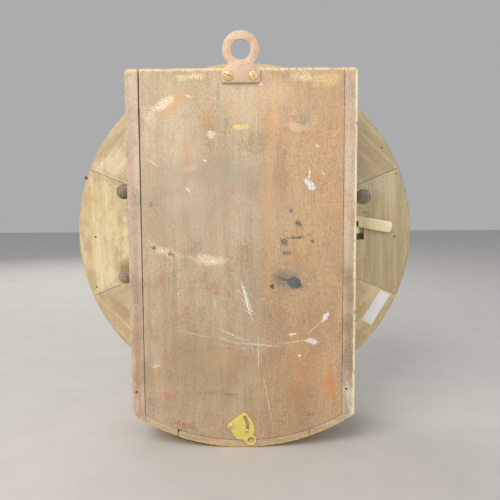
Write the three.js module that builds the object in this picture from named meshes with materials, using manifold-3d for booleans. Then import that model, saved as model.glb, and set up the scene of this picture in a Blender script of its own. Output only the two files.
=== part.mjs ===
// School wall clock: a round dial in a turned wooden surround, pegged to a box that holds a
// spring-driven fusee movement with a short pendulum.
// Millimetres, +Z up. The wall is the plane y = 0 and the dial looks along -Y, with its centre at x = z = 0.
import * as THREE from "three";
import { mergeVertices } from "three/addons/utils/BufferGeometryUtils.js";
import Module from "manifold-3d";

const wasm = await Module();
wasm.setup();

// Clearances
const GAP = 0.3; // between two pieces that meet at a cut
const RUN = 0.3; // round a turning shaft, on the radius
const HOLE_FIT = 0.25; // round a fixed pin or screw, on the radius

// Box
const CASE_HALF_WIDTH = 107;
const SIDE_THICKNESS = 12;
const CASE_DEPTH = 112;
const CASE_TOP = 156.5;
const SHOULDER_ABOVE_PENDULUM = 10; // from the pendulum's end to where the foot meets the sides
const FOOT_DROP = 32; // how far the foot's curve hangs below the shoulder
const TOP_THICKNESS = 12;
const BACK_THICKNESS = 9;
const FOOT_THICKNESS = 6.4;
const CORNER_ROUND = 4;
const BACK_SLIT = 1.4; // shrinkage gap beside the backboard, on the +X side

// Surround
const SURROUND_RADIUS = 190;
const SURROUND_BORE = 104;
const SURROUND_THICKNESS = 22.5;
const SURROUND_PARTS = 8;
const SURROUND_STEPS = 48;
const SEAT_DEPTH = 18; // from the surround's back to the flat that the bezel shuts on
const RECESS_DEPTH = 16; // from the surround's back to the floor that the dial lies on

// Pegs and the battens that they lock
const BATTEN_THICKNESS = 13;
const BATTEN_DEPTH = 38;
const BATTEN_LOW = -80;
const BATTEN_HIGH = 110;
const PEG_INSET = 22; // from the surround's back to the pegs' axes
const PEG_HEIGHTS_RIGHT = [47, -46.5];
const PEG_HEIGHTS_LEFT = [39.6];
const PEG_SHANK = 4;
const PEG_NECK = 3.4;
const PEG_BALL = 8.5;
const PEG_REACH = 24; // from the box side to the ball's centre

// Hanging plate
const EYE_HEIGHT = 172.6;
const EYE_RADIUS = 17;
const EYE_HOLE = 9;
const PLATE_THICKNESS = 2.2;
const PLATE_NECK = 12.6; // half width
const PLATE_FOOT = 17.6; // half width
const PLATE_FOOT_TOP = 156;
const PLATE_FOOT_LOW = 143.2;
const HANG_SCREW_X = 11.4;
const HANG_SCREW_Z = 149.4;
const SCREW_HEAD = 4.7;
const SCREW_HEAD_HEIGHT = 2.2;
const SCREW_SHANK = 1.8;
const SCREW_LENGTH = 7;

// Steady plate and its two screws
const STEADY_PIVOT_OUT = [11.6, 21.3]; // from the middle of the box's foot
const STEADY_THICKNESS = 1.6;
const STEADY_EYE_OUT = [-7.1, 7.2]; // from the middle of the box's foot
const STEADY_EYE_RADIUS = 5.4;
const STEADY_EYE_HOLE = 3.2;
const STEADY_SLOT = 1.9; // half width of the curved slot
const STEADY_SLOT_RADIUS = 15.6; // from the pivot to the slot's middle line
const STEADY_SLOT_FROM = 144; // degrees round the pivot, from +X towards +Z
const STEADY_SLOT_TO = 197.4;
const STEADY_PIVOT_HEAD = 3.4;
const STEADY_GUIDE_HEAD = 2.9;

// Dial and hands
const DIAL_RADIUS = 149;
const DIAL_THICKNESS = 1.6;
const DIAL_HOLE = 5.6;
const WINDING_HOLE = 6;
const DIAL_FOOT_RADIUS = 4;
const DIAL_FEET = [
  [38, 70],
  [-38, 70],
  [38, -64],
  [-38, -64],
];
const MINUTE_HAND_LENGTH = 132;
const HOUR_HAND_LENGTH = 92;
const HAND_THICKNESS = 1;
const HOUR_ANGLE = 305; // degrees clockwise from twelve: ten minutes past ten
const MINUTE_ANGLE = 60;

// Bezel, glass and sight ring
const BEZEL_RADIUS = 173;
const BEZEL_BORE = 153;
const BEZEL_LIP = 150;
const BEZEL_HEIGHT = 17;
const GLASS_THICKNESS = 2.4;
const GLASS_DOME = 7;
const GLASS_EDGE_HEIGHT = 9.4; // from the seat to the glass's inner edge
const SIGHT_BORE = 146.5;
const BEZEL_STEPS = 48;
const SIGHT_STEPS = 36;
const BEZEL_HINGE_X = SURROUND_RADIUS - 12;
const BEZEL_HINGE_HEIGHT = 8; // from the seat to the hinge's axis
const BEZEL_KNUCKLE = 2.3;
const BEZEL_PIN = 1.1;
const BEZEL_KNUCKLE_HALF = 7;
const BEZEL_HINGE_HALF = 17;

// Bezel catch
const CATCH_PIVOT = [-CASE_HALF_WIDTH - 12, 14.1];
const CATCH_SLOPE = -10.5; // degrees, tip down
const CATCH_LENGTH = 49;
const CATCH_TAIL = 7.5;
const CATCH_HALF_WIDTH = 6.3;
const CATCH_THICKNESS = 2;
const CATCH_STEP = 3.4; // how far the finger piece stands off
const CATCH_BEND_FROM = 15;
const CATCH_BEND_TO = 24;
const CATCH_SCREW = 2;
const CATCH_SCREW_HEAD = 4.2;
const TONGUE_X = [-130, -125.5];
const TONGUE_Z = [-1.8, 4];
const TONGUE_FOOT_TIP = -155;
const TONGUE_THICKNESS = 2;
const MORTISE_X = [-137, -121];
const MORTISE_Z = [-8.7, 5.6];
const KEEPER_X = [-157.4, -155.2];
const KEEPER_TOE_TIP = -151;
const KEEPER_Z = [-7.4, -2.6];
const KEEPER_DEPTH = 11.5; // how far the keeper reaches behind the seat
const KEEPER_METAL = 1.6;

// Doors
const SIDE_DOOR_FRONT = -88;
const SIDE_DOOR_REAR = -22;
const SIDE_DOOR_ABOVE_SHOULDER = 20;
const SIDE_DOOR_HEIGHT = 66;
const SIDE_DOOR_THICKNESS = 9;
const FOOT_DOOR_HALF_WIDTH = 60;
const DOOR_FIT = 0.6; // round a door
const HINGE_PIN = 1.2;
const HINGE_LEAF = 1.2;
const HINGE_LEAF_REACH = 13;
const HINGE_HALF_LENGTH = 18;
const HINGE_PIN_REACH = 10; // how far the pin runs into the door past each end of the knuckle
const KNOB_RADIUS = 5.5;
const KNOB_HEIGHT = 9;
const KNOB_SHAFT = 2.2;
const KNOB_INSET = 9; // from the door's front edge to the knob's axis
const BUTTON_LENGTH = 15;
const BUTTON_HALF_WIDTH = 3.6;
const BUTTON_THICKNESS = 2.6;
const BUTTON_SCREW = 1.6;
const BUTTON_SCREW_LENGTH = 4;

// Movement: plates and pillars
const FRONT_PLATE_BEHIND_DIAL = 12.4; // from the dial's back to the front plate
const PLATE_METAL = 2.6;
const PLATE_SPACING = 47;
const PLATES_HALF_WIDTH = 66;
const PLATES_LOW = -70;
const PLATES_HIGH = 76;
const PILLAR_RADIUS = 5;
const PILLAR_TENON = 2.4;
const PILLAR_TENON_OUT = 2.5;
const PILLARS = [
  [56, 66],
  [-56, 66],
  [56, -60],
  [-56, -60],
];

// Movement: wheels and pinions. A tooth count, then the module
const GREAT_TEETH = 96;
const CENTRE_LEAVES = 8;
const GREAT_MODULE = 0.75;
const CENTRE_TEETH = 84;
const THIRD_LEAVES = 7;
const CENTRE_MODULE = 0.6;
const THIRD_TEETH = 78;
const ESCAPE_LEAVES = 7;
const THIRD_MODULE = 0.5;
const CANNON_TEETH = 24;
const MINUTE_TEETH = 36;
const MOTION_MODULE = 0.8;
const MINUTE_LEAVES = 8;
const HOUR_TEETH = 64;
const MINUTE_STUD = 0.8;
const ESCAPE_TEETH = 30;
const ESCAPE_RADIUS = 15;
const ESCAPE_ROOT = 12.2;
const ESCAPE_METAL = 1.5;

// Corners of one tooth: [share of the pitch from the tooth's middle, height in modules]
const WHEEL_TOOTH = [
  [0, 0.9],
  [0.5, -1.3],
];
const LEAF_TOOTH = [
  [-0.2, -1.35],
  [-0.08, 0.7],
  [0.08, 0.7],
  [0.2, -1.35],
];
const MOTION_TOOTH = [
  [0, 0.75],
  [0.5, -1.25],
];

// Movement: where each wheel sits between the plates, from the back plate's inner face forwards
const CENTRE_WHEEL_AT = 9.2;
const THIRD_WHEEL_AT = 24.5;
const ESCAPE_WHEEL_AT = 3.5;
const GREAT_WHEEL_AT = 40;
const WHEEL_METAL = 1.8;
const GREAT_METAL = 2.5;
const PINION_SPARE = 1.6; // how far a pinion runs past each face of its wheel

// Movement: directions from one arbor to the next, degrees from +X towards +Z
const FUSEE_DIRECTION = -45;
const THIRD_DIRECTION = 60;
const MINUTE_WHEEL_DIRECTION = 135;
const ARBOR = 1.6;
const THIN_ARBOR = 1;
const PIVOT = 0.7;
const FUSEE_ARBOR = 3;
const WINDING_SQUARE = 4.4;
const FUSEE_LARGE = 22;
const FUSEE_SMALL = 12;
const FUSEE_TURNS = 7;
const FUSEE_PITCH = 3.2;
const FUSEE_GROOVE = 1.1;
const BARREL_RADIUS = 24;
const BARREL_LENGTH = 30;
const BARREL_BEHIND = 13; // from the back plate's inner face to the barrel
const BARREL_ARBOR = 3.2;

// Motion work, from the front plate forwards
const CANNON_AT = 1.6;
const CANNON_METAL = 1.8;
const CANNON_PIPE = 2.5;
const HOUR_WHEEL_AT = 6;
const HOUR_METAL = 1.5;
const HOUR_PIPE = 4;
const HANDS_CLEAR = 3; // from the dial's face to the hour hand
const HANDS_APART = 3.4; // from the hour hand to the minute hand

// Escapement and pendulum
const PALLET_AXIS_HEIGHT = 61;
const PALLET_CLEAR = 1.3; // how far the pallets hang clear of the wheel at mid-swing
const PALLET_METAL = 2.2;
const SWING = 3.5; // degrees each side
const ROD_Y = -50;
const ROD_RADIUS = 1.6;
const BOB_RADIUS = 32;
const BOB_THICKNESS = 17;
const PENDULUM_LENGTH = 200; // from the spring's flexing point to the bob's centre
const BOB_SLEEVE = 3.2;
const NUT_RADIUS = 6;
const NUT_HEIGHT = 4;
const NUT_GAP = 0.3;
const ROD_BELOW_BOB = 9;
const SPRING_THICKNESS = 0.6;
const SPRING_HALF_WIDTH = 3;
const SPRING_LENGTH = 12;
const SPRING_PLAY = 0.9; // room each side in the cock's slot, as the spring is modelled stiff
const CRUTCH_LENGTH = 38;
const CRUTCH_THICKNESS = 2;
const COCK_THICKNESS = 4;
const COCK_HALF_WIDTH = 7;
const MOTION_STUD_OUT = 10.4; // from the front plate to the end of the minute wheel's stud
const COCK_BEARING_BEHIND = 5; // from the back plate to the cock's bearing
const COCK_RISE = 11; // from the pallet axis to the cock's top

// Places worked out from the sizes
const BACK_OF_SURROUND = -CASE_DEPTH;
const SEAT_Y = BACK_OF_SURROUND - SEAT_DEPTH;
const RECESS_Y = BACK_OF_SURROUND - RECESS_DEPTH;
const SIDE_INNER = CASE_HALF_WIDTH - SIDE_THICKNESS;
const PENDULUM_END = PALLET_AXIS_HEIGHT - PENDULUM_LENGTH - BOB_RADIUS - ROD_BELOW_BOB;
const CASE_SHOULDER = PENDULUM_END + SHOULDER_ABOVE_PENDULUM;
const CASE_FOOT = CASE_SHOULDER - FOOT_DROP;
const SIDE_DOOR_LOW = CASE_SHOULDER + SIDE_DOOR_ABOVE_SHOULDER;
const SIDE_DOOR_HIGH = SIDE_DOOR_LOW + SIDE_DOOR_HEIGHT;
const STEADY_PIVOT = [STEADY_PIVOT_OUT[0], CASE_FOOT + STEADY_PIVOT_OUT[1]];
const STEADY_EYE = [STEADY_EYE_OUT[0], CASE_FOOT + STEADY_EYE_OUT[1]];
const FOOT_RADIUS = (CASE_HALF_WIDTH ** 2 + FOOT_DROP ** 2) / (2 * FOOT_DROP);
const FOOT_CENTRE = CASE_FOOT + FOOT_RADIUS;
const DIAL_FACE = RECESS_Y - DIAL_THICKNESS;
const FRONT_PLATE_FRONT = RECESS_Y + FRONT_PLATE_BEHIND_DIAL;
const FRONT_PLATE_BACK = FRONT_PLATE_FRONT + PLATE_METAL;
const BACK_PLATE_FRONT = FRONT_PLATE_BACK + PLATE_SPACING;
const BACK_PLATE_BACK = BACK_PLATE_FRONT + PLATE_METAL;
const PEG_Y = BACK_OF_SURROUND + PEG_INSET;

const radians = THREE.MathUtils.degToRad;

// Point at a distance and direction from another, in the plane of the dial
function polar(distance, degrees, [x, z] = [0, 0]) {
  return [x + distance * Math.cos(radians(degrees)), z + distance * Math.sin(radians(degrees))];
}

const CENTRE = [0, 0];
const FUSEE = polar((GREAT_MODULE * (GREAT_TEETH + CENTRE_LEAVES)) / 2, FUSEE_DIRECTION);
const THIRD = polar((CENTRE_MODULE * (CENTRE_TEETH + THIRD_LEAVES)) / 2, THIRD_DIRECTION);
const ESCAPE_DISTANCE = (THIRD_MODULE * (THIRD_TEETH + ESCAPE_LEAVES)) / 2;
const ESCAPE = [0, THIRD[1] + Math.sqrt(ESCAPE_DISTANCE ** 2 - THIRD[0] ** 2)];
const MOTION_DISTANCE = (MOTION_MODULE * (CANNON_TEETH + MINUTE_TEETH)) / 2;
const HOUR_MODULE = (2 * MOTION_DISTANCE) / (HOUR_TEETH + MINUTE_LEAVES);
const MINUTE_WHEEL = polar(MOTION_DISTANCE, MINUTE_WHEEL_DIRECTION);
const GREAT_RADIUS = (GREAT_MODULE * GREAT_TEETH) / 2;
const BARREL = [FUSEE[0] - GREAT_RADIUS - BARREL_RADIUS - 2.3, FUSEE[1]];
const PALLETS = [0, PALLET_AXIS_HEIGHT];

const HOUR_HAND_BACK = DIAL_FACE - HANDS_CLEAR;
const MINUTE_HAND_BACK = HOUR_HAND_BACK - HANDS_APART;
const CENTRE_END = MINUTE_HAND_BACK - HAND_THICKNESS - 2.4;
const WINDING_END = RECESS_Y + 1;
const MOTION_STUD_END = FRONT_PLATE_FRONT - MOTION_STUD_OUT;
const COCK_BEARING_FRONT = BACK_PLATE_BACK + COCK_BEARING_BEHIND;

// Guide screw of the steady plate: at the low end of the slot
const STEADY_GUIDE = polar(STEADY_SLOT_RADIUS, STEADY_SLOT_TO, STEADY_PIVOT);

// Geometry to solid and back
function solid(geometry) {
  const bare = geometry.index ? geometry.toNonIndexed() : geometry.clone();
  bare.deleteAttribute("normal");
  bare.deleteAttribute("uv");
  const merged = mergeVertices(bare, 1e-4);
  return new wasm.Manifold(
    new wasm.Mesh({
      numProp: 3,
      vertProperties: new Float32Array(merged.attributes.position.array),
      triVerts: new Uint32Array(merged.index.array),
    }),
  );
}

function geometryOf(body) {
  const mesh = body.getMesh();
  const geometry = new THREE.BufferGeometry();
  geometry.setAttribute("position", new THREE.BufferAttribute(mesh.vertProperties, 3));
  geometry.setIndex(new THREE.BufferAttribute(mesh.triVerts, 1));
  const flat = geometry.toNonIndexed();
  flat.computeVertexNormals();
  return flat;
}

const join = (...bodies) => bodies.reduce((all, body) => all.add(body));
const cut = (body, ...tools) => tools.reduce((left, tool) => left.subtract(tool), body);

// Outline in the plane of the dial, run forwards (towards -Y) from yBack to yFront
function prism(shape, yBack, yFront, curveSegments = 8) {
  const geometry = new THREE.ExtrudeGeometry(shape, {
    depth: yBack - yFront,
    bevelEnabled: false,
    curveSegments,
  });
  return solid(geometry.rotateX(Math.PI / 2).translate(0, yBack, 0));
}

// Outline in the XY plane, run upwards from zLow to zHigh
function column(shape, zLow, zHigh, curveSegments = 8) {
  const geometry = new THREE.ExtrudeGeometry(shape, {
    depth: zHigh - zLow,
    bevelEnabled: false,
    curveSegments,
  });
  return solid(geometry.translate(0, 0, zLow));
}

// Profile of [radius, distance along the axis], turned round Y, X or Z through a point.
// It may run either way round: the faces always point out
function turned(profile, steps, axis = "y", at = [0, 0, 0]) {
  const points = profile.map(([radius, along]) => new THREE.Vector2(radius, along));
  if (THREE.ShapeUtils.area(points) < 0) points.reverse();
  const geometry = new THREE.LatheGeometry(points, steps);
  if (axis === "x") geometry.rotateZ(-Math.PI / 2);
  if (axis === "z") geometry.rotateX(Math.PI / 2);
  return solid(geometry.translate(...at));
}

// Round rod along an axis, from one place on it to another
function rod(radius, from, to, axis = "y", at = [0, 0, 0], steps = 16) {
  return turned([[0, from], [radius, from], [radius, to], [0, to]], steps, axis, at);
}

// Rod along Y through a point of the dial's plane
const axle = (radius, yFront, yBack, [x, z], steps = 12) => rod(radius, yFront, yBack, "y", [x, 0, z], steps);

function block([x0, x1], [y0, y1], [z0, z1]) {
  const geometry = new THREE.BoxGeometry(Math.abs(x1 - x0), Math.abs(y1 - y0), Math.abs(z1 - z0));
  return solid(geometry.translate((x0 + x1) / 2, (y0 + y1) / 2, (z0 + z1) / 2));
}

function shapeOf(points) {
  return new THREE.Shape(points.map(([x, z]) => new THREE.Vector2(x, z)));
}

function circleShape(radius, [x, z] = [0, 0]) {
  const shape = new THREE.Shape();
  shape.absarc(x, z, radius, 0, 2 * Math.PI, false);
  return shape;
}

const root = new THREE.Group();

const FINISHES = {
  pine: new THREE.MeshStandardMaterial({ color: 0xa98a5c, roughness: 0.8 }),
  mahogany: new THREE.MeshStandardMaterial({ color: 0x6d4433, roughness: 0.75 }),
  polished: new THREE.MeshStandardMaterial({ color: 0x5b2f1b, roughness: 0.35 }),
  ebony: new THREE.MeshStandardMaterial({ color: 0x2e221b, roughness: 0.5 }),
  iron: new THREE.MeshStandardMaterial({ color: 0x5a3a2c, roughness: 0.7, metalness: 0.6 }),
  brass: new THREE.MeshStandardMaterial({ color: 0xb8963f, roughness: 0.35, metalness: 0.9 }),
  steel: new THREE.MeshStandardMaterial({ color: 0x8d9094, roughness: 0.3, metalness: 0.9 }),
  enamel: new THREE.MeshStandardMaterial({ color: 0xece6d4, roughness: 0.5 }),
  blued: new THREE.MeshStandardMaterial({ color: 0x16181f, roughness: 0.3, metalness: 0.7 }),
  glass: new THREE.MeshStandardMaterial({
    color: 0xf4f8f8,
    roughness: 0.05,
    transparent: true,
    opacity: 0.3,
  }),
};

function place(name, body, finish) {
  const mesh = new THREE.Mesh(geometryOf(body), FINISHES[finish].clone());
  mesh.name = name;
  root.add(mesh);
}

// Height of the foot's curve of a given radius at a distance from the middle
const footHeight = (x, radius = FOOT_RADIUS) => FOOT_CENTRE - Math.sqrt(radius ** 2 - x ** 2);

// Direction of a point of the foot's curve as seen from the curve's centre
const footAngle = (x, radius = FOOT_RADIUS) => -Math.acos(x / radius);

// Band between two radii of the foot's curve, from one x to another, cut upright at its ends
function footBand(x0, x1, inner, outer) {
  const shape = new THREE.Shape();
  shape.absarc(0, FOOT_CENTRE, outer, footAngle(x0, outer), footAngle(x1, outer), false);
  shape.absarc(0, FOOT_CENTRE, inner, footAngle(x1, inner), footAngle(x0, inner), true);
  return shape;
}

// Middle of the foot's thickness at the foot door's two ends
const FOOT_MIDDLE = FOOT_RADIUS - FOOT_THICKNESS / 2;
const footDoorEnd = (x) => [x, footHeight(x, FOOT_MIDDLE)];
const FOOT_HINGE = footDoorEnd(FOOT_DOOR_HALF_WIDTH);
const FOOT_BOARD_FROM = FOOT_DOOR_HALF_WIDTH + FOOT_THICKNESS / 2 + DOOR_FIT;
const SIDE_HINGE = [
  CASE_HALF_WIDTH - SIDE_DOOR_THICKNESS / 2,
  SIDE_DOOR_REAR - SIDE_DOOR_THICKNESS / 2,
];

// Leaf, knuckle and pin of a door's hinge, about the Y axis at the origin, the leaf running along +X
function hinge(knuckle) {
  const leaf = shapeOf([
    [0, -knuckle],
    [knuckle + DOOR_FIT + HINGE_LEAF_REACH, -knuckle],
    [knuckle + DOOR_FIT + HINGE_LEAF_REACH, -knuckle + HINGE_LEAF],
    [0, -knuckle + HINGE_LEAF],
  ]);
  return join(
    prism(circleShape(knuckle), HINGE_HALF_LENGTH, -HINGE_HALF_LENGTH, 5),
    prism(leaf, HINGE_HALF_LENGTH, -HINGE_HALF_LENGTH),
    axle(
      HINGE_PIN,
      -HINGE_HALF_LENGTH - HINGE_PIN_REACH,
      HINGE_HALF_LENGTH + HINGE_PIN_REACH,
      CENTRE,
      8,
    ),
  );
}

// Room that the hinge needs in the board that holds its leaf
function hingeRecess(knuckle) {
  const reach = knuckle + DOOR_FIT + HINGE_LEAF_REACH + GAP;
  const room = shapeOf([
    [0, -knuckle - 2],
    [reach, -knuckle - 2],
    [reach, -knuckle + HINGE_LEAF + GAP],
    [0, -knuckle + HINGE_LEAF + GAP],
  ]);
  return prism(room, HINGE_HALF_LENGTH + GAP, -HINGE_HALF_LENGTH - GAP);
}

// Room that the hinge needs in the door: the knuckle's notch and the pin's two bores
function hingeNotch(knuckle) {
  const half = HINGE_HALF_LENGTH + DOOR_FIT;
  const reach = HINGE_HALF_LENGTH + HINGE_PIN_REACH + 1;
  return join(
    prism(circleShape(knuckle + DOOR_FIT), half, -half, 5),
    axle(HINGE_PIN + HOLE_FIT, -reach, reach, CENTRE, 8),
  );
}

const FOOT_KNUCKLE = FOOT_THICKNESS / 2 - 0.1;
const SIDE_KNUCKLE = SIDE_DOOR_THICKNESS / 2 - 0.1;
const FOOT_HINGE_TILT = Math.asin(FOOT_HINGE[0] / FOOT_MIDDLE);
const FOOT_HINGE_Y = (BACK_OF_SURROUND - BACK_THICKNESS) / 2;
const SIDE_HINGE_Z = (SIDE_DOOR_LOW + SIDE_DOOR_HIGH) / 2;
const BUTTON_AT = FOOT_BOARD_FROM + BUTTON_HALF_WIDTH + 2;
const BUTTON_TILT = (Math.asin(BUTTON_AT / FOOT_RADIUS) * 180) / Math.PI;

// A part of the foot door's button: its axis square to the foot's curve
const atButton = (body) =>
  body.rotate([0, BUTTON_TILT, 0]).translate([-BUTTON_AT, FOOT_HINGE_Y, footHeight(BUTTON_AT)]);

// A part of the foot hinge, put at its place on the curve with its leaf on the inside
const atFootHinge = (body) =>
  body
    .mirror([0, 0, 1])
    .rotate([0, (-FOOT_HINGE_TILT * 180) / Math.PI, 0])
    .translate([FOOT_HINGE[0], FOOT_HINGE_Y, FOOT_HINGE[1]]);

// A part of the side hinge: its axis upright, its leaf to the rear and flush with the outside
const atSideHinge = (body) =>
  body
    .rotate([90, 0, 0])
    .rotate([0, 0, 90])
    .translate([SIDE_HINGE[0], SIDE_HINGE[1], SIDE_HINGE_Z]);

function pegHoles(heights, sign) {
  return heights.map((z) =>
    rod(PEG_SHANK + HOLE_FIT, 50, CASE_HALF_WIDTH + 10, "x", [0, PEG_Y, z], 12).rotate([
      0,
      0,
      sign > 0 ? 0 : 180,
    ]).translate([0, sign > 0 ? 0 : 2 * PEG_Y, 0]),
  );
}

function sideBoard(sign) {
  const shape = new THREE.Shape();
  shape.absarc(0, FOOT_CENTRE, FOOT_RADIUS, footAngle(SIDE_INNER), footAngle(CASE_HALF_WIDTH), false);
  shape.absarc(
    CASE_HALF_WIDTH - CORNER_ROUND,
    CASE_TOP - CORNER_ROUND,
    CORNER_ROUND,
    0,
    Math.PI / 2,
    false,
  );
  shape.lineTo(SIDE_INNER, CASE_TOP);
  const board = prism(shape, 0, BACK_OF_SURROUND, 3);
  return sign > 0 ? board : board.mirror([1, 0, 0]);
}

function buildCase() {
  const doorway = block(
    [SIDE_INNER - 1, CASE_HALF_WIDTH + 1],
    [SIDE_DOOR_FRONT - DOOR_FIT, SIDE_DOOR_REAR + DOOR_FIT],
    [SIDE_DOOR_LOW - DOOR_FIT, SIDE_DOOR_HIGH + DOOR_FIT],
  );
  place(
    "side_board_right",
    cut(
      sideBoard(1),
      ...pegHoles(PEG_HEIGHTS_RIGHT, 1),
      doorway,
      atSideHinge(hingeRecess(SIDE_KNUCKLE)),
    ),
    "mahogany",
  );
  place("side_board_left", cut(sideBoard(-1), ...pegHoles(PEG_HEIGHTS_LEFT, -1)), "mahogany");
  place(
    "top_board",
    block(
      [-SIDE_INNER, SIDE_INNER],
      [BACK_OF_SURROUND, -BACK_THICKNESS],
      [CASE_TOP - TOP_THICKNESS, CASE_TOP],
    ),
    "mahogany",
  );

  const left = -SIDE_INNER + GAP;
  const right = SIDE_INNER - BACK_SLIT;
  const back = new THREE.Shape();
  const over = FOOT_RADIUS - FOOT_THICKNESS - GAP;
  back.absarc(0, FOOT_CENTRE, FOOT_RADIUS, footAngle(left), footAngle(-FOOT_BOARD_FROM), false);
  back.absarc(0, FOOT_CENTRE, over, footAngle(-FOOT_BOARD_FROM, over), footAngle(FOOT_BOARD_FROM, over), false);
  back.absarc(0, FOOT_CENTRE, FOOT_RADIUS, footAngle(FOOT_BOARD_FROM), footAngle(right), false);
  back.lineTo(right, CASE_TOP);
  back.lineTo(left, CASE_TOP);
  const bores = [
    [HANG_SCREW_X, HANG_SCREW_Z],
    [-HANG_SCREW_X, HANG_SCREW_Z],
    STEADY_PIVOT,
    STEADY_GUIDE,
  ].map((at) => axle(SCREW_SHANK + HOLE_FIT, -SCREW_LENGTH - GAP, 1, at, 8));
  place("backboard", cut(prism(back, 0, -BACK_THICKNESS, 6), ...bores), "mahogany");

  const inner = FOOT_RADIUS - FOOT_THICKNESS;
  const footRight = prism(
    footBand(FOOT_BOARD_FROM, SIDE_INNER, inner, FOOT_RADIUS),
    -BACK_THICKNESS,
    BACK_OF_SURROUND,
    3,
  );
  const footLeft = prism(
    footBand(-SIDE_INNER, -FOOT_BOARD_FROM, inner, FOOT_RADIUS),
    -BACK_THICKNESS,
    BACK_OF_SURROUND,
    3,
  );
  place("foot_board_right", cut(footRight, atFootHinge(hingeRecess(FOOT_KNUCKLE))), "mahogany");
  const buttonBore = rod(BUTTON_SCREW + HOLE_FIT, -1, BUTTON_SCREW_LENGTH + GAP, "z", [0, 0, 0], 8);
  place("foot_board_left", cut(footLeft, atButton(buttonBore)), "mahogany");
}

// One segment of the turned surround, straight across its joints
function surroundProfile() {
  const back = BACK_OF_SURROUND;
  const front = BACK_OF_SURROUND - SURROUND_THICKNESS;
  return [
    [SURROUND_BORE, back],
    [SURROUND_BORE, RECESS_Y],
    [DIAL_RADIUS + 1, RECESS_Y],
    [DIAL_RADIUS + 1, SEAT_Y],
    [BEZEL_RADIUS + 1.2, SEAT_Y],
    [BEZEL_RADIUS + 2, front + 1],
    [BEZEL_RADIUS + 5, front],
    [SURROUND_RADIUS - 8, front + 0.4],
    [SURROUND_RADIUS - 3, front + 2.6],
    [SURROUND_RADIUS - 0.8, front + 6],
    [SURROUND_RADIUS, front + 10],
    [SURROUND_RADIUS, back - 2],
    [SURROUND_RADIUS - 2, back],
    [SURROUND_BORE, back],
  ];
}

function buildSurround() {
  const ring = turned(surroundProfile(), SURROUND_STEPS);
  const span = 360 / SURROUND_PARTS;
  const half = radians(span / 2);
  const reach = SURROUND_RADIUS * 1.3;
  const edge = GAP / 2 / Math.sin(half);
  const wedge = prism(
    shapeOf([
      [edge, 0],
      [edge + reach * Math.cos(half), -reach * Math.sin(half)],
      [edge + reach * Math.cos(half), reach * Math.sin(half)],
    ]),
    0,
    2 * BACK_OF_SURROUND,
  );
  const slot = join(
    block(MORTISE_X, [BACK_OF_SURROUND + 1, BACK_OF_SURROUND - 6], MORTISE_Z),
    block(
      [KEEPER_X[0] - 3, MORTISE_X[1]],
      [BACK_OF_SURROUND - 4, RECESS_Y + 2],
      MORTISE_Z,
    ),
    block(
      [KEEPER_X[0] - 3, -DIAL_RADIUS - 1.6],
      [BACK_OF_SURROUND - 4, SEAT_Y - 1],
      MORTISE_Z,
    ),
    axle(CATCH_SCREW + HOLE_FIT, BACK_OF_SURROUND - 9, BACK_OF_SURROUND + 1, CATCH_PIVOT, 8),
  );
  for (let i = 0; i < SURROUND_PARTS; i++) {
    const part = ring.intersect(wedge.rotate([0, -span * i, 0]));
    const holds = i === SURROUND_PARTS / 2;
    place(`surround_segment_${i + 1}`, holds ? cut(part, slot) : part, "pine");
  }
  for (const [name, sign, heights] of [
    ["batten_right", 1, PEG_HEIGHTS_RIGHT],
    ["batten_left", -1, PEG_HEIGHTS_LEFT],
  ]) {
    const x1 = sign * (SIDE_INNER - GAP);
    const x0 = x1 - sign * BATTEN_THICKNESS;
    const batten = block(
      [x0, x1],
      [BACK_OF_SURROUND, BACK_OF_SURROUND + BATTEN_DEPTH],
      [BATTEN_LOW, BATTEN_HIGH],
    );
    place(name, cut(batten, ...pegHoles(heights, sign)), "pine");
  }
}

function peg(sign, z) {
  const start = SIDE_INNER - GAP - BATTEN_THICKNESS;
  const ball = CASE_HALF_WIDTH + PEG_REACH;
  const meet = Math.asin(PEG_NECK / PEG_BALL);
  const profile = [
    [0, start],
    [PEG_SHANK - 0.8, start],
    [PEG_SHANK, CASE_HALF_WIDTH + 4],
    [PEG_NECK, CASE_HALF_WIDTH + 9],
  ];
  const steps = 5;
  for (let i = 0; i <= steps; i++) {
    const angle = meet + ((Math.PI - meet) * i) / steps;
    profile.push([i === steps ? 0 : PEG_BALL * Math.sin(angle), ball - PEG_BALL * Math.cos(angle)]);
  }
  const body = turned(profile, 12, "x", [0, PEG_Y, z]);
  return sign > 0 ? body : body.mirror([1, 0, 0]);
}

function buildPegs() {
  PEG_HEIGHTS_RIGHT.forEach((z, i) => place(`case_peg_right_${i + 1}`, peg(1, z), "ebony"));
  PEG_HEIGHTS_LEFT.forEach((z, i) => place(`case_peg_left_${i + 1}`, peg(-1, z), "ebony"));
}

// Round-head screw along Y, its head standing on a face at y
function screw(at, y, head, shank, length = SCREW_LENGTH) {
  const profile = [
    [0, -length],
    [shank, -length],
    [shank, y],
    [head, y],
    [head, y + SCREW_HEAD_HEIGHT * 0.35],
    [head * 0.72, y + SCREW_HEAD_HEIGHT * 0.85],
    [0, y + SCREW_HEAD_HEIGHT],
  ];
  return turned(profile, 10, "y", [at[0], 0, at[1]]);
}

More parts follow.
